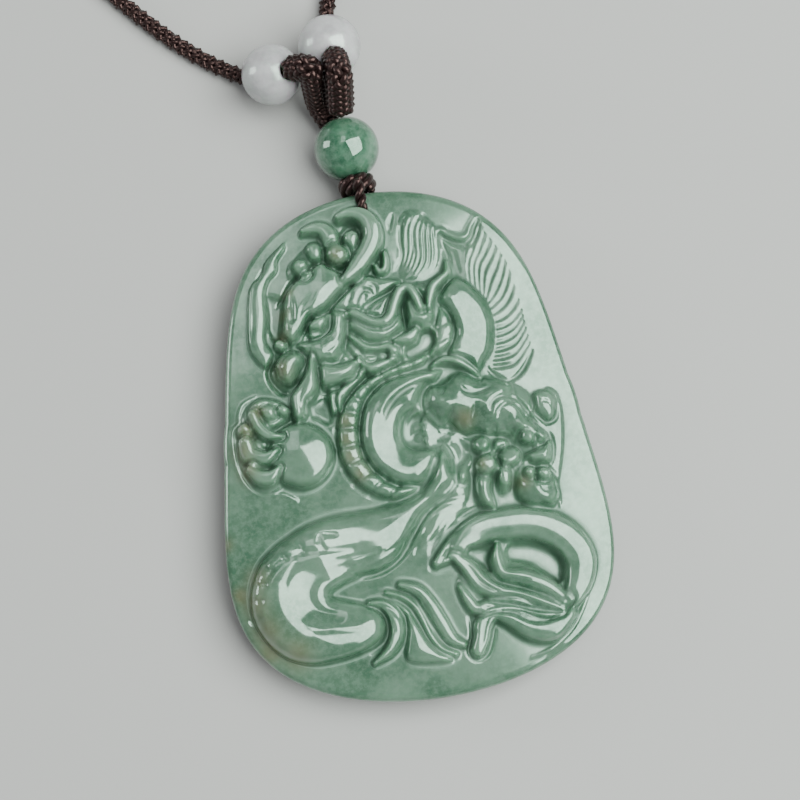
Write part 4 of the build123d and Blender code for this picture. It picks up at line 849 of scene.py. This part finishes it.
def grid_faces(rows_of, columns_of, closed_rows=False, closed_columns=False):
    """Quads of a grid of points, joined up along either way if it closes on itself."""
    row_steps = rows_of if closed_rows else rows_of - 1
    column_steps = columns_of if closed_columns else columns_of - 1
    row, column = np.meshgrid(np.arange(row_steps), np.arange(column_steps), indexing="ij")
    next_row, next_column = (row + 1) % rows_of, (column + 1) % columns_of
    corners = [row * columns_of + column, row * columns_of + next_column,
               next_row * columns_of + next_column, next_row * columns_of + column]
    return np.stack([corner.ravel() for corner in corners], 1)


def carved_grid():
    """The carved face: a square grid laid on the oval, x = u sqrt(1 - v^2/2), y = v sqrt(1 - u^2/2).

    Its heights are worked out on a grid twice as fine and blurred.
    """
    u, v = np.meshgrid(np.linspace(-1, 1, 2 * columns + 1), np.linspace(-1, 1, 2 * rows + 1))
    disc_x = u * np.sqrt(1 - v**2 / 2)
    disc_y = v * np.sqrt(1 - u**2 / 2)
    angle = np.arctan2(disc_y * half_height, disc_x * half_width)
    radius = np.hypot(disc_x, disc_y) * (edge_radius(angle) - front_bevel)
    x, y = radius * np.cos(angle), radius * np.sin(angle)
    height = blur(relief(x, y), carving_passes)
    return [values[::2, ::2] for values in (x, y, angle, height)]


def plaque_profile():
    """The side below the carved face, as inset and height: rounded bevel, wall and domed back."""
    bevel = [(front_bevel * (1 - math.sin(turn)), plaque_thickness - front_bevel * (1 - math.cos(turn)))
             for turn in np.radians((25, 50, 70, 90))]
    loops = bevel + [(0.0, rim_rise + back_bevel)]
    for part in (back_bevel / rim_rise_width, 0.2, 0.35, 0.5, 0.65, 0.8, 1.0):
        drop = part * part * (3 - 2 * part)
        loops.append((part * rim_rise_width, rim_rise * (1 - drop)))
    return loops


def mask_carving(piece, height, places):
    """Keep at each point how hollow, raised, creased and warm in tint it is, from 0 to 1. Hollow and
    raised drive painted shade and a painted highlight in the jade's colour.
    """
    hollow = (blur(height, hollow_passes) - height).ravel() / hollow_full
    dips = np.maximum(blur(height, crease_passes) - height, 0)
    crease = blur(dips, crease_spread).ravel() / crease_full
    below = np.zeros(len(places) - height.size)
    tall = (1, half_height / half_width)
    warm = sum(np.exp(-(((places - spot[:2]) * tall) ** 2).sum(1) / spot[2] ** 2) for spot in warm_spots)
    for name, values in (("hollow", np.append(hollow, below)), ("raised", np.append(-hollow, below)),
                         ("crease", np.append(crease, below)), ("warm", warm)):
        layer = piece.data.attributes.new(name, "FLOAT", "POINT")
        layer.data.foreach_set("value", np.clip(values, 0, 1).astype(np.float32))


def carved_plaque():
    """The plaque: its carved grid, then a ring of points for each loop of its side and back."""
    x, y, angle, height = carved_grid()
    number = np.arange(x.size).reshape(x.shape)
    rim = np.concatenate([number[0, :-1], number[:-1, -1], number[-1, :0:-1], number[:0:-1, 0]])
    height.flat[rim] = 0
    points = [np.stack([x.ravel(), y.ravel(), plaque_thickness + height.ravel()], 1)]
    faces = [grid_faces(*x.shape)]
    rim_angle = angle.flat[rim]
    upper = rim
    for inset, z in plaque_profile():
        lower = np.arange(len(rim)) + sum(len(part) for part in points)
        reach = edge_radius(rim_angle) - inset
        points.append(np.stack([reach * np.cos(rim_angle), reach * np.sin(rim_angle),
                                np.full(len(rim), z)], 1))
        faces.append(np.stack([lower, np.roll(lower, -1), np.roll(upper, -1), upper], 1))
        upper = lower
    middle = sum(len(part) for part in points)
    points.append(np.array([(0.0, 0.0, 0.0)]))
    next_upper = np.roll(upper, -1)
    faces.append(np.stack([upper[::2], np.full(len(upper) // 2, middle), next_upper[1::2],
                           next_upper[::2]], 1))
    points = np.vstack(points)
    piece = mesh_object("jade_plaque_carved", points, np.vstack(faces))
    mask_carving(piece, height, points[:, :2] / hundredth / (half_width, half_height))
    return piece


def frame_of(direction):
    """Two directions square to one."""
    side = direction.orthogonal().normalized()
    return np.array(side), np.array(direction.cross(side).normalized())


def lathe(name, profile, place, direction, sides=bead_sides, closed=True):
    """A surface of revolution from points (radius, height) round an axis at a place."""
    side, other = frame_of(direction)
    turn = full_turn(sides)
    points = []
    for radius, height in profile:
        ring = (np.outer(np.cos(turn), side) + np.outer(np.sin(turn), other)) * radius
        points.append(ring + np.array(place + direction * height))
    faces = grid_faces(len(profile), sides, closed_rows=closed, closed_columns=True)
    return mesh_object(name, np.vstack(points), faces[:, ::-1])


def drill(piece):
    """The cord hole, with a slightly flared mouth, cut through the finished plaque."""
    radius = hole_diameter / 2
    flared = radius + hole_flare
    bottom, top = -cutter_below, plaque_thickness + cutter_above
    profile = [(0.0, bottom), (radius, bottom), (radius, plaque_thickness - hole_flare_depth),
               (flared, plaque_thickness + hole_flare_rise), (flared, top), (0.0, top)]
    place = Vector((hole_side, half_height - hole_from_tip, 0))
    cutter = lathe("hole_cutter", profile, place, Vector((0, 0, 1)), hole_sides, closed=False)
    modifier = piece.modifiers.new("hole", "BOOLEAN")
    modifier.operation = "DIFFERENCE"
    modifier.solver = "EXACT"
    modifier.object = cutter
    graph = bpy.context.evaluated_depsgraph_get()
    drilled = bpy.data.meshes.new_from_object(piece.evaluated_get(graph))
    piece.modifiers.clear()
    piece.data = drilled
    drilled.polygons.foreach_set("use_smooth", np.ones(len(drilled.polygons), bool))
    bpy.data.objects.remove(cutter)


def drilled_bead(name, place, diameter, bore, direction):
    """A round bead with a straight hole whose lips are rounded."""
    radius, hole = diameter / 2, bore / 2
    start = math.asin((hole + bead_lip) / radius)
    ball = [(radius * math.sin(turn), radius * math.cos(turn))
            for turn in np.linspace(start, math.pi - start, bead_rings)]
    top = radius * math.cos(start)
    mouth = [(hole + bead_lip * out, top + bead_lip * up)
             for out, up in ((0.4, 0.02), (0.1, -0.3), (0, -1))]
    profile = [*reversed(mouth), *ball, *[(r, -z) for r, z in mouth]]
    return lathe(name, profile, place, direction)


def lengths_along(points):
    """The length of a line of points up to each of them."""
    return np.concatenate([[0], np.cumsum(np.linalg.norm(np.diff(points, axis=0), axis=1))])


def along(points, spacing):
    """Evenly spaced points along a line of points."""
    points = np.asarray(points, float)
    lengths = lengths_along(points)
    count = max(2, round(lengths[-1] / spacing) + 1)
    at = np.linspace(0, lengths[-1], count)
    return np.stack([np.interp(at, lengths, points[:, axis]) for axis in range(3)], 1)


def carried_frames(points):
    """Two directions square to a line at each of its points, carried along it without twisting."""
    tangent = np.gradient(points, axis=0)
    tangent /= np.linalg.norm(tangent, axis=1)[:, None]
    side = np.empty_like(points)
    side[0] = frame_of(Vector(tangent[0]))[0]
    for i in range(1, len(points)):
        carried = side[i - 1] - tangent[i] * (side[i - 1] @ tangent[i])
        side[i] = carried / np.linalg.norm(carried)
    return side, np.cross(tangent, side)


def wound(middle, frames, angle, distance):
    """Points round a middle line: middle + distance (cos angle side + sin angle other)."""
    side, other = frames
    out = np.cos(angle)[..., None] * side + np.sin(angle)[..., None] * other
    return middle + distance[..., None] * out


def strand(line, radius, sides, taper=taper_points):
    """Points, faces and UVs of a round strand: U is length in millimetres and V its turn.

    Its ends are rounded off over their first few points.
    """
    from_end = np.minimum(np.arange(len(line)), np.arange(len(line))[::-1])
    radius = radius * quarter_round(from_end, taper) + least_radius
    frames = [way[:, None] for way in carried_frames(line)]
    turn = full_turn(sides)
    rings = wound(line[:, None], frames, turn, radius[:, None])
    uv = np.stack(np.broadcast_arrays(lengths_along(line)[:, None], turn / (2 * math.pi)), -1)
    faces = grid_faces(len(line), sides, closed_columns=True)
    return rings.reshape(-1, 3), faces, uv.reshape(-1, 2)


def strands_object(name, strands):
    """One object from several strands."""
    points, faces, uv, count = [], [], [], 0
    for strand_points, strand_faces, strand_uv in strands:
        points.append(strand_points)
        faces.append(strand_faces + count)
        uv.append(strand_uv)
        count += len(strand_points)
    return mesh_object(name, np.vstack(points), np.vstack(faces), np.vstack(uv))


def round_braid(route, diameter, strands, lead, spacing, sides):
    """A round braid: half the strands wind each way, and each passes over one and under one.

    Strand k is at angle +-2 pi s / lead + 2 pi k / n, its distance from the middle swinging by a
    cosine so that it is out where it passes over and in where it passes under.
    """
    middle = along(route, spacing)
    frames = carried_frames(middle)
    turn = 2 * math.pi * spacing / lead * np.arange(len(middle))
    each_way = strands // 2
    thickness = diameter * strand_share
    ring = diameter / 2 - thickness * strand_inset
    swing = thickness * strand_swing * np.cos(turn * each_way)
    return [strand(wound(middle, frames, way * turn + start, ring + way * swing),
                   thickness / 2 * strand_fullness, sides)
            for way in (1, -1) for start in full_turn(each_way)]


def twisted_plies(route, diameter, lead, spacing, sides):
    """Two plies twisted round each other along a route, each at angle 2 pi s / lead."""
    middle = along(route, spacing)
    frames = carried_frames(middle)
    turn = 2 * math.pi * spacing / lead * np.arange(len(middle))
    ring = np.full(len(middle), diameter / 4)
    return [strand(wound(middle, frames, turn + start, ring), diameter / 4 * ply_fullness, sides)
            for start in full_turn(2)]


def spline_points(route):
    """Points read from a NURBS spline of order 3 through the route, in millimetres."""
    curve = bpy.data.curves.new("route", "CURVE")
    curve.dimensions = "3D"
    spline = curve.splines.new("NURBS")
    spline.points.add(len(route) - 1)
    for point, place in zip(spline.points, route):
        point.co = (*place, 1)
    spline.order_u = 3
    spline.use_endpoint_u = True
    spline.resolution_u = 24
    drawn = bpy.data.objects.new("route", curve)
    bpy.context.scene.collection.objects.link(drawn)
    graph = bpy.context.evaluated_depsgraph_get()
    mesh = bpy.data.meshes.new_from_object(drawn.evaluated_get(graph))
    places = np.empty(len(mesh.vertices) * 3)
    mesh.vertices.foreach_get("co", places)
    bpy.data.objects.remove(drawn)
    bpy.data.meshes.remove(mesh)
    return places.reshape(-1, 3)


# Polish: the coat's weight on open ground and in a crease, the roughness there, the least and most of
# a patch's polish, how strongly the grain shows, and the size of the lint on a thread
coat_open = 0.6
coat_in_crease = 0.1
crease_roughness = 0.45
patchy_polish = (0.3, 1.3)
grain_strength = 0.4
lint_size = 0.4


def wire(tree, node, inputs):
    """Give a node's inputs their values, or link them from sockets."""
    for key, value in inputs.items():
        if isinstance(value, bpy.types.NodeSocket):
            tree.links.new(value, node.inputs[key])
        else:
            node.inputs[key].default_value = value


def put(tree, kind, inputs=None, **settings):
    """A new shader node with its inputs and settings."""
    node = tree.nodes.new(kind)
    for key, value in settings.items():
        setattr(node, key, value)
    wire(tree, node, inputs or {})
    return node


def maths(tree, operation, *values):
    """The result of an operation on values or sockets."""
    return put(tree, "ShaderNodeMath", dict(enumerate(values)), operation=operation).outputs[0]


def colour_mix(tree, amount, first, second):
    """The colour part way from first to second."""
    return put(tree, "ShaderNodeMix", {0: amount, 6: first, 7: second}, data_type="RGBA").outputs[2]


def group_of(name, inputs, outputs):
    """A new node group with named sockets, and its input and output nodes."""
    group = bpy.data.node_groups.new(name, "ShaderNodeTree")
    for socket, value in inputs:
        made = group.interface.new_socket(socket, in_out="INPUT", socket_type="NodeSocketFloat")
        made.default_value = value
    for socket in outputs:
        group.interface.new_socket(socket, in_out="OUTPUT", socket_type="NodeSocketFloat")
    return group, group.nodes.new("NodeGroupInput"), group.nodes.new("NodeGroupOutput")


def mottle_group():
    """Soft cloud and fine grain of a stone, at sizes given in millimetres."""
    group, given, out = group_of("stone mottle", [("Cloud size", 8.0), ("Grain size", 0.8)],
                                 ["Cloud", "Grain"])
    place = put(group, "ShaderNodeTexCoord").outputs["Object"]
    millimetres = put(group, "ShaderNodeVectorMath", {0: place, "Scale": 1 / MM}, operation="SCALE")
    for name, detail, roughness, low, high in (("Cloud", 4.0, 0.6, 0.36, 0.64),
                                               ("Grain", 3.0, 0.7, 0.38, 0.68)):
        scale = maths(group, "DIVIDE", 1.0, given.outputs[f"{name} size"])
        noise = put(group, "ShaderNodeTexNoise",
                    {"Vector": millimetres.outputs[0], "Scale": scale, "Detail": detail,
                     "Roughness": roughness})
        ranged = put(group, "ShaderNodeMapRange",
                     {"Value": noise.outputs[0], "From Min": low, "From Max": high},
                     interpolation_type="SMOOTHSTEP")
        group.links.new(ranged.outputs[0], out.inputs[name])
    return group


def thread_group():
    """Fine fibres that wind round a strand, from its own UVs: a height and a lightness."""
    group, given, out = group_of("thread", [("Fibres", 5.0), ("Pitch", 1.6)], ["Height", "Light"])
    split = put(group, "ShaderNodeSeparateXYZ", {0: put(group, "ShaderNodeUVMap").outputs[0]})
    pitches = maths(group, "DIVIDE", split.outputs[0], given.outputs["Pitch"])
    turns = maths(group, "ADD", pitches, split.outputs[1])
    count = maths(group, "MULTIPLY", turns, given.outputs["Fibres"])
    wave = maths(group, "SINE", maths(group, "MULTIPLY", count, 2 * math.pi))
    height = put(group, "ShaderNodeMapRange", {"Value": wave, "From Min": -1.0, "From Max": 1.0})
    place = put(group, "ShaderNodeTexCoord").outputs["Object"]
    noise = put(group, "ShaderNodeTexNoise", {"Vector": place, "Scale": 1 / (lint_size * MM),
                                              "Detail": 3.0})
    group.links.new(height.outputs[0], out.inputs["Height"])
    group.links.new(noise.outputs[0], out.inputs["Light"])
    return group


def material(name):
    """A new material, its tree and its Principled node."""
    made = bpy.data.materials.new(name)
    made.use_nodes = True
    return made, made.node_tree, made.node_tree.nodes["Principled BSDF"]


def between(tree, attribute, low, high):
    """A value that goes from low to high with an attribute of the mesh."""
    given = put(tree, "ShaderNodeAttribute", attribute_name=attribute)
    return put(tree, "ShaderNodeMapRange", {"Value": given.outputs["Fac"], "From Min": 0.0,
                                            "From Max": 1.0, "To Min": low, "To Max": high}).outputs[0]


def stone(name, sizes, colours, soft, roughness, tints_and_painted_shading=()):
    """Polished translucent stone: base, cloud and grain mixed by the mottle, tinted by attributes, which
    for the jade are its own warm tint plus painted shade and a painted highlight that follow the carving.

    The polish is patchy and fades in the creases of the carving.
    """
    made, tree, shader = material(name)
    mottle = put(tree, "ShaderNodeGroup", dict(zip(("Cloud size", "Grain size"), sizes)),
                 node_tree=mottle_tree)
    cloud_mask, grain_mask = mottle.outputs["Cloud"], mottle.outputs["Grain"]
    base, cloud, grain = colours
    colour = colour_mix(tree, cloud_mask, base, cloud)
    colour = colour_mix(tree, maths(tree, "MULTIPLY", grain_mask, grain_strength), colour, grain)
    # Tints from attributes: warm is the stone's own brown, hollow is painted shade darkening the
    # carving's hollows, raised is a painted highlight lightening its raised parts
    for attribute, amount, tint in tints_and_painted_shading:
        colour = colour_mix(tree, between(tree, attribute, 0.0, amount), colour, tint)
    patches = maths(tree, "ADD", cloud_mask, grain_mask)
    dull, bright = patchy_polish
    polish = put(tree, "ShaderNodeMapRange", {"Value": patches, "From Max": 2.0, "To Min": dull,
                                              "To Max": bright}).outputs[0]
    coat = maths(tree, "MULTIPLY", between(tree, "crease", coat_open, coat_in_crease), polish)
    wire(tree, shader, {"Base Color": colour,
                        "Roughness": between(tree, "crease", roughness, crease_roughness),
                        "IOR": 1.8, "Specular Tint": (0.68, 1.0, 0.80, 1),
                        "Coat Weight": coat, "Coat Roughness": roughness / 3, "Coat IOR": 1.6,
                        "Subsurface Weight": soft, "Subsurface Scale": 1.2 * MM,
                        "Subsurface Radius": (1.0, 1.8, 1.2)})
    return made


def thread(name, dark, light, sheen):
    """Waxed thread, dark with lighter fibres."""
    made, tree, shader = material(name)
    fibres = put(tree, "ShaderNodeGroup", node_tree=thread_tree)
    colour = colour_mix(tree, fibres.outputs["Light"], dark, light)
    bump = put(tree, "ShaderNodeBump", {"Height": fibres.outputs["Height"], "Strength": 0.3,
                                        "Distance": 0.05 * MM})
    wire(tree, shader, {"Base Color": colour, "Roughness": 0.3, "Normal": bump.outputs[0],
                        "Specular Tint": (1.0, 0.62, 0.58, 1), "Sheen Weight": sheen,
                        "Sheen Roughness": 0.4, "Sheen Tint": (0.9, 0.6, 0.6, 1)})
    return made


def plain(name, colour, roughness):
    """A plain painted surface."""
    made, tree, shader = material(name)
    wire(tree, shader, {"Base Color": colour, "Roughness": roughness})
    return made


def dress(thing, skin, slot, *nodes):
    """Give a piece its material and place in the frame, and hide the solids it stands for. The slot is
    not used.
    """
    thing.data.materials.clear()
    thing.data.materials.append(skin)
    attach(thing, "root")
    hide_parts(*nodes)


# Places worked out as in the part's source
lean = math.radians(axis_lean)
axis = Vector((-math.sin(lean), math.cos(lean), 0))
knot_start = Vector((hole_side, half_height + knot_from_edge, axis_height))
bead_seat = knot_start + axis * knot_length
bead_mouth = math.sqrt((green_bead_diameter / 2) ** 2 - (core_cord_diameter / 2) ** 2)
green_bead_place = bead_seat + axis * (bead_mouth + fit_gap)
fork = green_bead_place + axis * (green_bead_diameter / 2 + fork_gap)

# A white bead, the way its cord runs, and the braid that leads to it
WhiteBead = namedtuple("WhiteBead", "side diameter place direction braid_start")


def white_bead(side, diameter, offset, heading, braid_start):
    """A white bead beside the fork. Its cord runs along the heading and down into the bead."""
    place = Vector((fork.x + offset[0], fork.y + offset[1], diameter / 2 + bead_lift))
    flat = math.cos(math.radians(bead_tilt))
    turn = math.radians(heading)
    direction = Vector((flat * math.cos(turn), flat * math.sin(turn), -math.sin(math.radians(bead_tilt))))
    return WhiteBead(side, diameter, place, direction, braid_start)


def braid_route(white):
    """The braid's line from the green bead up and over into a white bead."""
    across = Vector((axis.y, -axis.x, 0))
    points = [green_bead_place + across * side + axis * ahead + Vector((0, 0, up))
              for side, ahead, up in white.braid_start]
    end = white.place - white.direction * (white.diameter / 2 + 1.5 * fit_gap)
    corner = end - white.direction * braid_reach
    return [*points, points[-1].lerp(corner, 0.5), corner, end]


def neck_line(left, right):
    """The neck cord's route: down through the left bead, round on the floor and up into the right one."""
    lying = neck_cord_diameter / 2
    ends = []
    for white in (left, right):
        out = white.place + white.direction * ((white.place.z - lying) / -white.direction.z)
        ends.append([white.place - white.direction * (white.diameter / 2), white.place, out])
    return [*ends[0], *[Vector((x, y, lying)) for x, y in neck_route], *reversed(ends[1])]


def hanging_route():
    """The thin cord from over the knot, through the plaque's hole and back under its edge."""
    above = plaque_thickness + loop_cord_diameter / 2 + cord_above
    below = loop_cord_diameter / 2 + cord_below
    over_knot = axis_height + (knot_diameter + loop_cord_diameter) / 2 + 2 * fit_gap
    hole_y = half_height - hole_from_tip
    edge_y = half_height - cord_bend
    end_x = hole_side - cord_slant
    end_y = knot_start.y + knot_length / 2
    return [Vector((end_x, end_y, over_knot)), Vector((hole_side, edge_y, above)),
            Vector((hole_side, hole_y, above)), Vector((hole_side, hole_y, plaque_thickness / 2)),
            Vector((hole_side, hole_y, below)), Vector((hole_side, edge_y, below)),
            Vector((end_x, end_y, below))]


def wrapped_knot():
    """Diagonal strands wound over the barrel of the knot, and its twisted core on through the bead."""
    half = knot_length / 2
    sweep = np.linspace(-1, 1, wrap_points)
    distance = knot_diameter / 2 - half + (half - wrap_inset) * np.cos(sweep * math.pi / 2 * wrap_bend)
    up = half + half * wrap_reach * np.sin(sweep * math.pi / 2)
    middle = np.array(knot_start) + np.outer(up, axis)
    wraps = [strand(wound(middle, frame_of(axis), start + sweep * wrap_turn, distance), wrap_radius,
                    wrap_sides, taper=4)
             for start in full_turn(wrap_count)]
    core = [knot_start + axis * core_start, fork - axis * (fork_gap - core_stop)]
    return wraps + twisted_plies(core, core_cord_diameter, lead=4.0, spacing=0.1, sides=16)


white_beads = [
    white_bead("left", left_bead_diameter, left_bead_offset, left_bead_heading, left_braid_start),
    white_bead("right", right_bead_diameter, right_bead_offset, right_bead_heading, right_braid_start),
]

# Finishes. A stone's colours are its base, cloud and grain, and its sizes those of cloud and grain.
mottle_tree = mottle_group()
thread_tree = thread_group()
# The hollow colour is painted shade and the raised colour a painted highlight; the warm colour is the
# stone's own brown tint
jade = stone("jade", (7.0, 0.7),
             [(0.034, 0.084, 0.050, 1), (0.085, 0.155, 0.105, 1), (0.125, 0.195, 0.143, 1)], 0.65, 0.09,
             [("hollow", 0.32, (0.012, 0.047, 0.024, 1)), ("raised", 0.6, (0.125, 0.215, 0.15, 1)),
              ("warm", 0.5, (0.13, 0.098, 0.048, 1))])
green_stone = stone("green bead stone", (3.5, 0.9),
                    [(0.008, 0.055, 0.026, 1), (0.055, 0.14, 0.085, 1), (0.12, 0.205, 0.145, 1)],
                    0.25, 0.05)
white_stone = stone("white bead stone", (5.0, 1.2),
                    [(0.33, 0.315, 0.33, 1), (0.44, 0.42, 0.44, 1), (0.52, 0.50, 0.52, 1)], 0.7, 0.24)
dark_thread = thread("dark waxed thread", (0.002, 0.001, 0.001, 1), (0.008, 0.004, 0.004, 1), 0.03)

# The pieces
plaque = carved_plaque()
drill(plaque)
dress(plaque, jade, "jade", "jade_plaque")

green_bead = drilled_bead("green_bead_polished", green_bead_place, green_bead_diameter,
                          core_cord_diameter + 2 * fit_gap, axis)
dress(green_bead, green_stone, "green_bead", "green_bead")

for white in white_beads:
    node = f"{white.side}_white_bead"
    bead = drilled_bead(f"{node}_polished", white.place, white.diameter,
                        neck_cord_diameter + 2 * fit_gap, white.direction)
    dress(bead, white_stone, "white_bead", node)

for white in white_beads:
    node = f"{white.side}_braid"
    braid = strands_object(f"{node}_strands", round_braid(
        spline_points(braid_route(white)), braid_diameter, strands=12, lead=5.0, spacing=0.12, sides=8))
    dress(braid, dark_thread, "cord", node)

neck = strands_object("neck_cord_strands", round_braid(
    spline_points(neck_line(*white_beads)), neck_cord_diameter, strands=8, lead=4.2, spacing=0.4,
    sides=6))
dress(neck, dark_thread, "cord", "neck_cord")

hanging = strands_object("hanging_cord_plies", twisted_plies(
    spline_points(hanging_route()), loop_cord_diameter, lead=2.6, spacing=0.06, sides=16))
dress(hanging, dark_thread, "cord", "hanging_cord")

knot = strands_object("cord_knot_wraps", wrapped_knot())
dress(knot, dark_thread, "cord", "cord_knot")

# Floor, lights and camera. The camera aims at the middle of the pendant, and the picture's upright
# points towards (0.152, 0.988).
floor_half = 1500.0
floor = mesh_object("floor", [(-floor_half, -floor_half, 0), (floor_half, -floor_half, 0),
                              (floor_half, floor_half, 0), (-floor_half, floor_half, 0)], [(0, 1, 2, 3)])
floor.data.materials.append(plain("floor", (0.36, 0.355, 0.35, 1), 0.7))

aim = Vector((0.35, 4.8, 5.0))
picture_up = Vector((0.152, 0.988, 0)).normalized()
picture_right = Vector((picture_up.y, -picture_up.x, 0))
picture_turn = math.degrees(math.atan2(picture_right.y, picture_right.x))


def overhead(across, up, height):
    """A place over the pendant, given across and up the picture."""
    return picture_right * across + picture_up * up + Vector((aim.x, aim.y, height))


def softbox(name, place, target, width, height, watts, turn=0.0, tint=(1, 1, 1)):
    """A rectangular light at a place, facing a target and turned about its own axis in degrees."""
    light = bpy.data.lights.new(name, "AREA")
    light.shape = "RECTANGLE"
    light.size, light.size_y = width * MM, height * MM
    light.energy = watts
    light.color = tint
    lamp = bpy.data.objects.new(name, light)
    lamp.location = place * MM
    lamp.rotation_mode = "QUATERNION"
    facing = (place - target).to_track_quat("Z", "Y")
    lamp.rotation_quaternion = facing @ Quaternion((0, 0, 1), math.radians(turn))
    bpy.context.scene.collection.objects.link(lamp)


# The key is a wide box overhead. Its corner shows in the polish, so that only the flat ground to the
# right and below its edges is bright. The sheen is a weak box beside it, over the upper left.
below = Vector((0, 0, -1))
key_corner = (-33.0, 173.0)
key_side = 900.0
key_turn = 28.8
key_height = 705.0
key_cos, key_sin = math.cos(math.radians(key_turn)), math.sin(math.radians(key_turn))
key_place = overhead(key_corner[0] + key_side / 2 * (key_cos + key_sin),
                     key_corner[1] + key_side / 2 * (key_sin - key_cos), key_height)
fill_place = overhead(-520, 110, 150)
sheen_place = overhead(-145, 290, key_height)
softbox("key", key_place, key_place + below, key_side, key_side, 26.0, picture_turn + key_turn,
        (0.93, 1.0, 0.95))
softbox("fill", fill_place, Vector(), 170, 260, 0.9)
softbox("sheen", sheen_place, sheen_place + below, 200, 310, 0.45, picture_turn)

world = bpy.data.worlds.new("studio")
world.use_nodes = True
wire(world.node_tree, world.node_tree.nodes["Background"], {0: (0.9, 0.93, 0.95, 1), 1: 0.42})
bpy.context.scene.world = world

camera_elevation = 80.0
frame_width = 93.8
lens = 100.0
sensor = 36.0
elevation = math.radians(camera_elevation)
away = -picture_up * math.cos(elevation) + Vector((0, 0, math.sin(elevation)))
camera_data = bpy.data.cameras.new("camera")
camera_data.lens = lens
camera_data.sensor_width = sensor
camera_data.clip_start = 0.01
camera = bpy.data.objects.new("camera", camera_data)
camera.location = (aim + away * (frame_width * lens / sensor)) * MM
camera.rotation_mode = "QUATERNION"
camera.rotation_quaternion = away.to_track_quat("Z", "Y")
bpy.context.scene.collection.objects.link(camera)
bpy.context.scene.camera = camera
